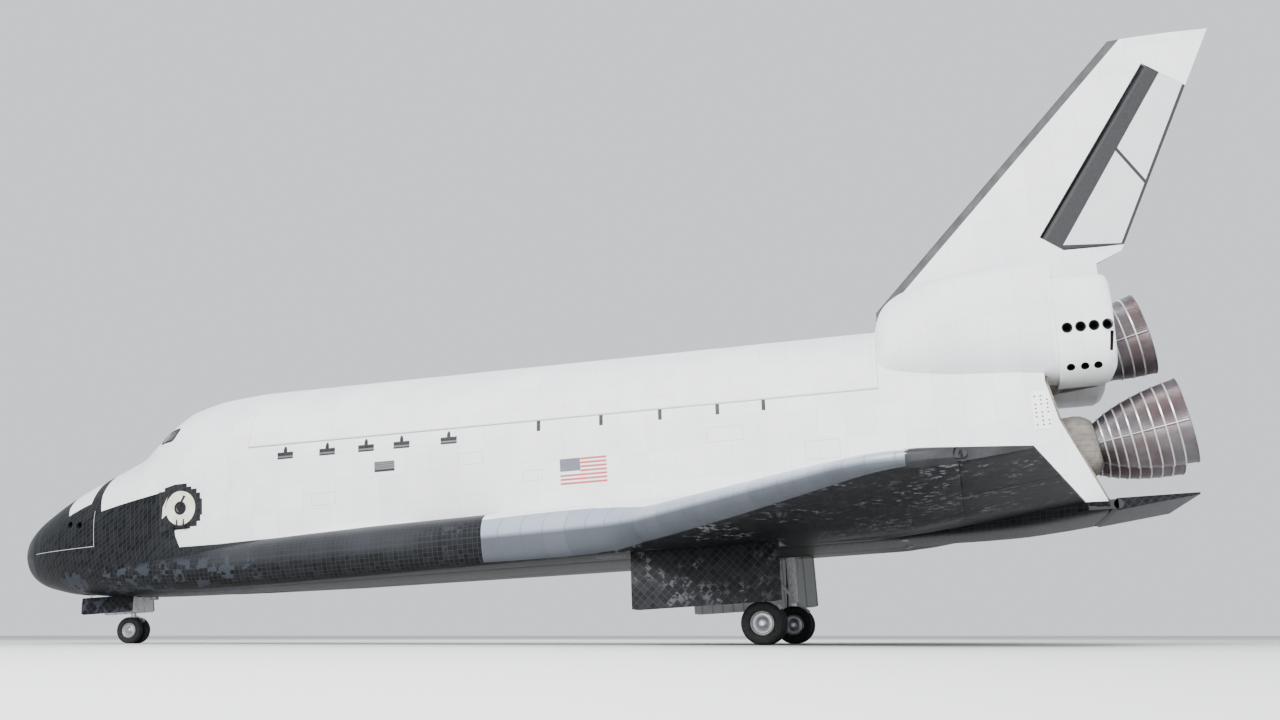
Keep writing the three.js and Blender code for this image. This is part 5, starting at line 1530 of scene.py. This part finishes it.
for side, turn in both_sides:
    wing = piece(f"wing_skin_{side}", turn(whole_wing), [wing_skin, dark_panels], "airframe", "black_tile",
                 f"wing_{side}")
    carved(wing, [turn(body_gap), turn(carbon_room(SEAT)), *map(turn, elevon_rooms)])
    flat_places(wing)
    refinished(wing, lambda face: face.center.x > tip_front and abs(face.center.y) > TIP_BAND * INCH)
    carved_lined(wing, [turn(well_cut)], well_paint)
    piece(f"elevon_lugs_{side}", turn(together(*lugs)), dark_panels, "airframe", "black_tile")

# Wing leading edges
# Curved panels of reinforced carbon, bolted side by side along the wing's front with narrow seal
# strips between them. They are grey blue, with shade painted darker on their lower part, and a
# blunt pale end at the front.
carbon_panels, shader = fresh_finish("carbon_panels", roughness=0.42)
where = station_place(shader)
x, y, z = apart(where)
CARBON_PANEL = 30.5
run = (x + abs(y)) / CARBON_PANEL
seal = spread(off_middle(run, 1), 0.455, 0.475)
panel_shade = new_node(shader, "TexWhiteNoise", noise_dimensions="1D")
feed(panel_shade.inputs["W"], calc("FLOOR", run))
shade = Varying(panel_shade.outputs[0]) * 0.4 + cloudy(where, 0.04, 5) * 0.6
# Painted shade: each panel's lower part is darkened below a line that climbs with the outer wing; under is
# the painted shade tone.
climb = highest(abs(y) - 224, 0) * 0.046
shade_below = spread(z - climb, 294, 299, 1.0, 0.0)
panel = mixed(shade, (0.27, 0.31, 0.37), (0.4, 0.44, 0.5))
under = mixed(shade, (0.085, 0.095, 0.11), (0.125, 0.138, 0.158))
coloured(shader, mixed(seal * 0.3, mixed(shade_below, panel, under), (0.1, 0.11, 0.125)))
raised(shader, -seal, 0.006, 0.6)
for side, turn in both_sides:
    edge = piece(f"leading_edge_{side}", turn(whole_wing), carbon_panels, "airframe", "grey_carbon",
                 f"wing_leading_edge_{side}")
    carved(edge, [turn(carbon_room(0))], "INTERSECT")

# Elevons
# Two flaps on each wing turn between lugs on one hinge line. They are black tiled below, white on
# top, and their round noses and ends are dark.
ELEVONS = [
    # name, inner end, outer end
    ("inboard_elevon", ELEVON["clear"], ELEVON["split"] - ELEVON["lug"] / 2 - ELEVON["clear"]),
    ("outboard_elevon", ELEVON["split"] + ELEVON["lug"] / 2 + ELEVON["clear"],
     hinge_length - ELEVON["lug"] - ELEVON["clear"] - 0.4),
]
for name, inner, outer in ELEVONS:
    room = nose_region(elevon_frame, nose_at(inner), nose_at(outer), inner, outer)
    gap = ELEVON["clear"] - SEAT
    pin = in_frame(elevon_frame, bar((0, 0, inner - gap), (0, 0, outer + gap), 2.5, edge=0.05))
    for side, turn in both_sides:
        elevon = piece(f"{name}_skin_{side}", turn(whole_wing), [black_tiles, white_covers, dark_panels],
                       f"{name}_{side}", "black_tile", f"{name}_{side}")
        carved(elevon, [turn(room)], "INTERSECT")
        flat_places(elevon)
        refinished(elevon, lambda face: face.normal.z > 0.3)
        refinished(elevon, lambda face: abs(face.normal.y) > 0.5 or face.normal.x < -0.5, 2)
        piece(f"{name}_pin_{side}", turn(pin), steel, f"{name}_{side}", "black_tile")

# Skin markings and small plates
# Thin black tiles mark the door latches along the sill and the vents below the doors. A grey vent
# plate, a plain striped panel, faint access panels and two service plates lie flush on the skin.
LATCH_MARKS = {"stations": (629.4, 680.9, 728.2, 770.9, 827), "half": 9.5, "low": 408.6, "foot": 409.9,
               "row": 412.6, "middle": 416.4, "stem": 2, "shoulder": 420, "tip": 0.8, "top": 423}
SILL_MARKS = {"stations": (931.8, 1003.3, 1069.6, 1133.3, 1183.6), "half": 2, "low": 413.8, "top": 425.4}
VENT = {"x0": 738, "x1": 762, "low": 384, "foot": 386, "top": 395.6}
SEAM = 0.1


def rectangle(x0, x1, z0, z1):
    return [(x0, z0), (x1, z0), (x1, z1), (x0, z1)]


latch_shapes = [rectangle(VENT["x0"], VENT["x1"], VENT["low"], VENT["foot"])]
grey_rows = [rectangle(VENT["x0"], VENT["x1"], VENT["foot"] + SEAM, VENT["top"])]
for x in LATCH_MARKS["stations"]:
    head = [("half", "row"), ("half", "middle"), ("stem", "middle"), ("stem", "shoulder"), ("tip", "top")]
    aft_side = [(x + LATCH_MARKS[out], LATCH_MARKS[up]) for out, up in head]
    latch_shapes.append(aft_side + [(2 * x - u, v) for u, v in aft_side[::-1]])
    ends = x - LATCH_MARKS["half"], x + LATCH_MARKS["half"]
    latch_shapes.append(rectangle(*ends, LATCH_MARKS["low"], LATCH_MARKS["foot"]))
    grey_rows.append(rectangle(*ends, LATCH_MARKS["foot"] + SEAM, LATCH_MARKS["row"] - SEAM))
for x in SILL_MARKS["stations"]:
    latch_shapes.append(rectangle(x - SILL_MARKS["half"], x + SILL_MARKS["half"], SILL_MARKS["low"],
                                  SILL_MARKS["top"]))


def side_marks(name, outlines, proud, finish, port_only=False, slot="white_tile"):
    """Thin plates on the sides of the fuselage, on the port side alone or on both."""
    prisms = [port_prism(outline) for outline in outlines]
    if not port_only:
        prisms += [other_side(prism) for prism in prisms]
    stations = [x for outline in outlines for x, _ in outline]
    skin_marks(name, prisms, min(stations) - 6, max(stations) + 6, proud, finish, slot=slot)


side_marks("latch_tiles", latch_shapes, 0.3, border_tile, slot="black_tile")
vent_plate, shader = fresh_finish("vent_plate", roughness=0.45, metallic=0.5)
slats = calc("PINGPONG", apart(station_place(shader))[2], 1.0)
coloured(shader, mixed(slats, (0.1, 0.1, 0.105), (0.24, 0.245, 0.25)))
raised(shader, slats, 0.01, 0.7)
side_marks("vent_plates", grey_rows[:1], 0.3, vent_plate, slot="black_tile")
side_marks("latch_tile_feet", grey_rows[1:], 0.3, vent_plate, slot="black_tile")
PANEL = {"x0": 954.6, "x1": 1007.4, "z0": 351.5, "z1": 380, "corner_x": 977.5, "corner_z": 366, "bands": 13}
band_height = (PANEL["z1"] - PANEL["z0"]) / PANEL["bands"]
red_paint = mottled("red_band_paint", (0.5, 0.11, 0.12), (0.6, 0.17, 0.17), 0.1)
grey_paint = mottled("grey_corner_paint", (0.14, 0.145, 0.18), (0.2, 0.205, 0.235), 0.1)
bands = [rectangle(PANEL["corner_x"] + 0.1 if row > 5 else PANEL["x0"], PANEL["x1"],
                   PANEL["z0"] + row * band_height, PANEL["z0"] + (row + 1) * band_height)
         for row in range(0, PANEL["bands"], 2)]
side_marks("striped_panel_bands", bands, 0.12, red_paint, port_only=True)
corner = rectangle(PANEL["x0"], PANEL["corner_x"], PANEL["corner_z"], PANEL["z1"])
side_marks("striped_panel_corner", [corner], 0.12, grey_paint, port_only=True)


def outline_strips(x0, x1, z0, z1, width=0.5):
    low, high = z0 + width + 0.05, z1 - width - 0.05
    return [rectangle(x0, x1, z0, z0 + width), rectangle(x0, x1, z1 - width, z1),
            rectangle(x0, x0 + width, low, high), rectangle(x1 - width, x1, low, high)]


faint_grey = mottled("faint_seam", (0.45, 0.45, 0.45), (0.58, 0.58, 0.58), 0.3, roughness=0.6)
SERVICE_PLATE = (1462, 1480, 365, 407)
SERVICE_PANELS = [
    # first and last station, low, high
    (838, 866, 383, 397), (912, 934, 359, 371), (560, 563, 380, 388), (1120, 1160, 384, 400),
    (1225, 1262, 356, 376), (661, 690, 352, 366),
]
panel_seams = [strip for panel in SERVICE_PANELS for strip in outline_strips(*panel)]
side_marks("service_panel_seams", panel_seams, 0.08, faint_grey)
plate_white = mottled("service_plate", (0.75, 0.76, 0.75), (0.86, 0.86, 0.85), 0.2, roughness=0.4)
side_marks("service_plates", [rectangle(*SERVICE_PLATE)], 0.5, plate_white)
socket_marks = []
for k in range(24):
    if k % 5 != 3:
        aft, rise = 6 * (k % 3), 4.4 * (k // 3)
        socket_marks.append(rectangle(1464.5 + aft, 1466 + aft, 369 + rise, 370.6 + rise))
side_marks("service_plate_sockets", socket_marks, 0.62, thruster_metal, slot="black_tile")

# Landing gear legs
# White-painted steel oleo legs with a bright inner piston, folding braces, a cross trunnion in the
# well, a torque link behind and slim brake lines clipped down the strut.
NOSE_WHEEL = {"x": 377, "radius": 16, "width": 8.8, "apart": 17}
nose_axle = axle_height(NOSE_WHEEL["x"], NOSE_WHEEL["radius"])
collar = nose_axle + 21
gear_paint = mottled("gear_paint", (0.76, 0.77, 0.78), (0.4, 0.39, 0.37), 0.25, 5, (0.45, 0.75, 0.0, 0.6),
                     (1.5, 3, 0.002, 0.3), roughness=0.4)
brake_hose, shader = fresh_finish("brake_hose", (0.03, 0.03, 0.03), 0.55)
grained(shader, 4, 2, 0.001, 0.6)


def strut(x, y, low, high, radius, rings=()):
    """Round leg with raised collars at given heights."""
    profile = [(0, 0), (0, radius - 0.25), (0.25, radius)]
    for place, half, lift in rings:
        at = place - low
        profile += [(at - half - 0.2, radius), (at - half, radius + lift), (at + half, radius + lift),
                    (at + half + 0.2, radius)]
    profile += [(high - low - 0.25, radius), (high - low, radius - 0.25), (high - low, 0)]
    return spun(profile, (x, y, low), (0, 0, 1), 48)


def hose(points, radius):
    """Thin line bent smoothly through points, as a chain of short round lengths."""
    line = [Vector(point) for point in points]
    shapes = []
    for a, b, c, d in zip([line[0]] + line, line, line[1:], line[2:] + [line[-1]]):
        steps = [0.5 * (2 * b + (c - a) * t + (2 * a - 5 * b + 4 * c - d) * t * t
                        + (3 * b - a - 3 * c + d) * t ** 3) for t in (0, 0.25, 0.5, 0.75, 1)]
        shapes += [bar(p, q, radius, sides=12, edge=0) for p, q in zip(steps, steps[1:])]
    return together(*shapes)


def cross_bar(x, y, z, half, radius):
    """Round bar that lies across the orbiter."""
    return bar((x, y - half, z), (x, y + half, z), radius)


def torque_link(x, y, low, middle, high, out, half):
    """Two tapered arms that meet at a pin behind the leg."""
    knee = (x + out + 1.4, middle)
    lower = [(x, low - 2), (x + out, middle - 1.6), knee, (x + out - 1, middle + 1.4), (x, low + 3)]
    upper = [(x, high - 3), (x + out - 1, middle - 1.4), knee, (x + out, middle + 1.6), (x, high + 1)]
    slim = half * 0.7
    return together(pushed(lower, "y", y - half, y + half), pushed(upper, "y", y - slim, y + slim),
                    cross_bar(x + out - 0.2, y, middle, half + 0.5, 0.9))


def folding_brace(foot, head, fold, thin, thick, pin):
    """Two tapered lengths that meet at a knee with a pin, from a leg up to its cross rod."""
    knee = foot.lerp(head, fold)
    return [bar(foot, knee, thin, thick), bar(knee, head, thick, thin), cross_bar(*knee, *pin)]


nose_top, brace_x = NOSE_WELL["roof"] - 8, NOSE_WELL["x0"] + 14
nose_half = NOSE_WELL["half"] - SEAT
leg_shapes = [
    strut(NOSE_WHEEL["x"], 0, collar, nose_top, 4.5,
          [(collar + 2, 1.8, 1), (collar + 14, 0.8, 0.5), (nose_top - 8, 1.5, 0.8)]),
    cross_bar(NOSE_WHEEL["x"], 0, nose_top - 2, nose_half, 3),
    cross_bar(brace_x, 0, nose_top, nose_half, 2.2),
]
for side in (-3, 3):
    foot, head = Vector((NOSE_WHEEL["x"], side, collar + 8)), Vector((brace_x, side, nose_top))
    leg_shapes += folding_brace(foot, head, 0.5, 1.3, 1.6, (1.8, 1.9))
piece("nose_leg", together(*leg_shapes), gear_paint, "airframe", "gear_paint", "nose_gear_leg")
fork_shapes = [
    strut(NOSE_WHEEL["x"], 0, nose_axle, collar - SEAT, 3.2, [(nose_axle + 3.5, 1.5, 0.6)]),
    cross_bar(NOSE_WHEEL["x"], 0, nose_axle, 11.9, 1.9),
    cross_bar(NOSE_WHEEL["x"], 0, nose_axle, 1.6, 3.9),
    torque_link(NOSE_WHEEL["x"] + 2, 0, nose_axle + 2, nose_axle + 11, nose_axle + 17.6, 11.5, 1.2),
]
piece("nose_fork", together(*fork_shapes), steel, "nose_steering", "bare_steel", "nose_gear_fork")
main_x, main_y, mid_brace = MAIN_WHEEL["x"], -MAIN_WHEEL["y"], MAIN_WHEEL["x"] - 60
leg_top = MAIN_WELL["roof"] - 3.5
main_shapes = [
    strut(main_x, main_y, main_axle + 26, leg_top, 5.5,
          [(main_axle + 28, 1.6, 0.8), (main_axle + 44, 0.8, 0.5), (leg_top - 14, 2, 0.7)]),
    bar((main_x, MAIN_WELL["y0"] + SEAT, leg_top - 2), (main_x, MAIN_WELL["y1"] - SEAT, leg_top - 2), 4.2),
    bar((mid_brace, MAIN_WELL["y0"] + SEAT, leg_top), (mid_brace, MAIN_WELL["y1"] - SEAT, leg_top), 2.8),
    torque_link(main_x + 3, main_y, main_axle + 1, main_axle + 15, main_axle + 27, 15, 1.5),
]
for side in (-3, 3):
    foot, head = [Vector((x, main_y + side, z)) for x, z in ((main_x, main_axle + 32), (mid_brace, leg_top))]
    main_shapes += folding_brace(foot, head, 0.48, 1.8, 2.2, (2.4, 2.6))
piston = together(strut(main_x, main_y, main_axle - 3, main_axle + 27, 4, [(main_axle, 3.2, 1)]),
                  cross_bar(main_x, main_y, main_axle, 19.5, 2.6))
BRAKE_STACK = [(-5, 3.2), (-5, 7.2), (-4.4, 7.8), (-1.2, 7.8), (-0.6, 7.2), (-0.6, 3.2), (-5, 3.2)]
HOSE_PATH = [
    # distance forward of the leg, out from its middle, height
    (4.4, 1.5, leg_top - 10), (6.2, 2, main_axle + 50), (7, 2.5, main_axle + 30),
    (7.5, 3.5, main_axle + 14), (4.5, 4.2, main_axle + 6),
]
brakes, hoses = [], []
for side in (-1, 1):
    brakes.append(spun(BRAKE_STACK, (main_x, main_y + side * 6.4, main_axle), (0, side, 0), 40))
    hoses.append(hose([(main_x - ahead, main_y + side * out, z) for ahead, out, z in HOSE_PATH], 0.55))
for side, turn in both_sides:
    piece(f"main_leg_{side}", turn(together(*main_shapes)), gear_paint, "airframe", "gear_paint",
          f"main_gear_leg_{side}")
    piece(f"main_piston_{side}", turn(piston), steel, "airframe", "gear_paint")
    piece(f"brake_lines_{side}", turn(together(*hoses)), brake_hose, "airframe", "gear_paint")
    piece(f"brake_stacks_{side}", turn(together(*brakes)), steel, "airframe", "gear_paint")

# Wheels and tyres
# Twin high-pressure tyres with plain ribs round a grooved tread, on grey forged wheels with
# holes and bolts round their rims. The pair on each leg turns together.
rubber = mottled("tyre_rubber", (0.018, 0.018, 0.019), (0.05, 0.048, 0.046), 0.4, 5, (0.35, 0.75),
                 (6, 2, 0.001, 0.4), roughness=0.75)
wheel_metal = mottled("wheel_metal", (0.38, 0.39, 0.4), (0.6, 0.61, 0.62), 0.5, 4, (0.3, 0.7),
                      (3, 2, 0.001, 0.3), roughness=0.42, metallic=0.75)
FLAT = math.cos(math.pi / TYRE_SIDES)
RIM_SHARE = 0.56
TYRE_WALL = [
    # share of the half width, share of the radius
    (-0.98, 0.72), (-1.0, 0.79), (-0.98, 0.86), (-0.91, 0.93), (-0.8, 0.97), (-0.66, 0.99),
]
WHEEL_DISC = [
    # share of the half width, share of the rim's radius
    (-0.7, 0.3), (-0.62, 0.36), (-0.42, 0.44), (-0.27, 0.6), (-0.27, 0.8), (-0.4, 0.88), (-0.62, 0.92),
    (-0.66, 0.97),
]


def round_wheel(outline, wheel, y, height, sides):
    """Closed wheel shape from half an outline of (share of the half width, radius) points."""
    outline = outline + [(-share, r) for share, r in outline[::-1]]
    profile = [(share * wheel["width"] / 2, r) for share, r in outline]
    return spun(profile + [profile[0]], (wheel["x"], y, height), (0, 1, 0), sides)


def tyre_shape(wheel, y, height):
    """Tyre with rounded shoulders and four grooves; its tread touches the ground as the solid's does."""
    radius = wheel["radius"] * FLAT
    bead = wheel["radius"] * RIM_SHARE
    outline = [(-0.62, bead), (-0.8, bead + 0.3), (-0.9, bead + 1)]
    outline += [(share, radius * r) for share, r in TYRE_WALL]
    for groove in (-0.45, -0.15):
        outline += [(groove - 0.035, radius), (groove - 0.03, radius - 0.45), (groove + 0.03, radius - 0.45),
                    (groove + 0.035, radius)]
    return round_wheel(outline, wheel, y, height, 96)


def wheel_shape(wheel, y, height, axle_radius):
    rim, half = wheel["radius"] * RIM_SHARE - 0.03, wheel["width"] / 2
    outline = [(-0.7, axle_radius), *[(share, rim * r) for share, r in WHEEL_DISC], (-0.62, rim)]
    shapes = [round_wheel(outline, wheel, y, height, 80)]
    for k in range(12):
        a = 2 * math.pi * k / 12
        at = Vector((wheel["x"] + rim * 0.7 * math.cos(a), y, height + rim * 0.7 * math.sin(a)))
        reach = Vector((0, half * 0.33, 0))
        shapes.append(bar(at - reach, at + reach, rim * 0.035, sides=6, edge=0))
    for side in (-1, 1):
        cap = [(0, axle_radius + 0.05), (half * 0.3, axle_radius + 0.05), (half * 0.36, rim * 0.2),
               (half * 0.3, rim * 0.27), (0, rim * 0.27), (0, axle_radius + 0.05)]
        shapes.append(spun(cap, (wheel["x"], y + side * half * 0.5, height), (0, side, 0), 40))
    return together(*shapes)


def add_wheel(gear, which, wheel, y, height, axle_radius, body):
    """One tyre and its wheel, which turn together."""
    piece(f"{gear}_tyre_tread_{which}", tyre_shape(wheel, y, height), rubber, body, "tyre_rubber",
          f"{gear}_tyre_{which}")
    piece(f"{gear}_wheel_{which}", wheel_shape(wheel, y, height, axle_radius), wheel_metal, body,
          "wheel_metal", f"{gear}_hub_{which}")


for side, sign in (("left", -1), ("right", 1)):
    add_wheel("nose", side, NOSE_WHEEL, sign * NOSE_WHEEL["apart"] / 2, nose_axle, 1.95, "nose_wheels")
    for place, shift in (("outer", 1), ("inner", -1)):
        y = sign * (MAIN_WHEEL["y"] + shift * MAIN_WHEEL["apart"] / 2)
        add_wheel("main", f"{side}_{place}", MAIN_WHEEL, y, main_axle, 2.66, f"main_wheels_{side}")

# Landing gear doors
# Curved honeycomb panels, black tiled outside and white inside with pressed ribs. They hang open
# from the outer edges of the wells on small hinge arms.
door_white, shader = fresh_finish("door_inside")
pressed = spread(calc("PINGPONG", apart(station_place(shader))[0], 6.5), 0.6, 1.4)
coloured(shader, mixed(pressed, (0.5, 0.51, 0.5), (0.72, 0.73, 0.72)))
raised(shader, pressed, 0.01, 0.6)


def hanging_door(name, outline, x0, x1, gap_shape, bulge, node, turn):
    """Door panel bowed outwards, cut where it meets the skin."""
    (out_top, high), (in_top, _), (in_foot, low), (out_foot, _) = outline
    rings = []
    for x in np.linspace(x0, x1, 25):
        ease = min(1.0, (x - x0) / 2.5, (x1 - x) / 2.5)
        trim = 1.2 * (1 - math.sqrt(max(0.0, 1 - (1 - ease) ** 2)))
        ring = []
        for top, foot, shares in ((out_top, out_foot, range(9)), (in_top, in_foot, range(8, -1, -1))):
            for share in shares:
                t = share / 8
                ring.append((top + (foot - top) * t - bulge * math.sin(math.pi * t),
                             high + (low + trim - high) * t))
        rings.append([(x, y, z) for y, z in ring])
    made = piece(name, turn(skin_loft(rings, lambda point: (point[0], point[2]))), [black_tiles, door_white],
                 "airframe", "black_tile", node)
    carved(made, [turn(gap_shape)])
    inward = 1 if made.data.vertices[0].co.y < 0 else -1
    refinished(made, lambda face: face.normal.y * inward > 0.5)


def door_arms(xs, edge, parts):
    """Hinge arms from a well's wall to its door; parts hold (out, height) ends and a radius."""
    return together(*[bar((x, edge + start[0], start[1]), (x, edge + end[0], end[1]), radius)
                      for x in xs for start, end, radius in parts])


nose_door_top = -NOSE_WELL["half"] - 0.9
nose_door = [(nose_door_top - 1.6, 272.2), (nose_door_top, 272.2), (nose_door_top - 2.7, 252.2),
             (nose_door_top - 4.3, 252.2)]
main_door = [(MAIN_WELL["y0"] - 2.9, 268.6), (MAIN_WELL["y0"] - 0.5, 268.6), (MAIN_WELL["y0"] - 9, 208.6),
             (MAIN_WELL["y0"] - 11.4, 208.6)]
front_gap = ring_loft(nose_stations(290, 420), lambda x: body_ring(x, -SEAT))
gap_rings = [[(x, y, z - SEAT if z < 296 else z) for x, y, z in wing_ring(y)] for y in wing_ys if y > 100]
wing_gap = skin_loft(gap_rings, lambda point: (0, 0))
main_arms = door_arms((MAIN_WELL["x0"] + 20, MAIN_WELL["x0"] + 78, MAIN_WELL["x1"] - 20), MAIN_WELL["y0"],
                      [((0.6, 286), (0.8, 262), 1.3), ((0.8, 262.4), (-3.2, 250), 1.1)])
nose_arms = door_arms((NOSE_WELL["x0"] + 14, NOSE_WELL["x1"] - 14), nose_door_top,
                      [((1.6, 284), (1.7, 268), 0.8), ((1.7, 268.4), (-0.8, 260), 0.7)])
for side, turn in both_sides:
    hanging_door(f"nose_door_{side}", nose_door, NOSE_WELL["x0"] + 4, NOSE_WELL["x1"] - 2, front_gap, 0.5,
                 f"nose_gear_door_{side}", turn)
    hanging_door(f"main_door_{side}", main_door, MAIN_WELL["x0"] + 1, MAIN_WELL["x1"] - 1, wing_gap, 0.9,
                 f"main_gear_door_{side}", turn)
    piece(f"main_door_arms_{side}", turn(main_arms), gear_paint, "airframe", "gear_paint")
    piece(f"nose_door_arms_{side}", turn(nose_arms), gear_paint, "airframe", "gear_paint")
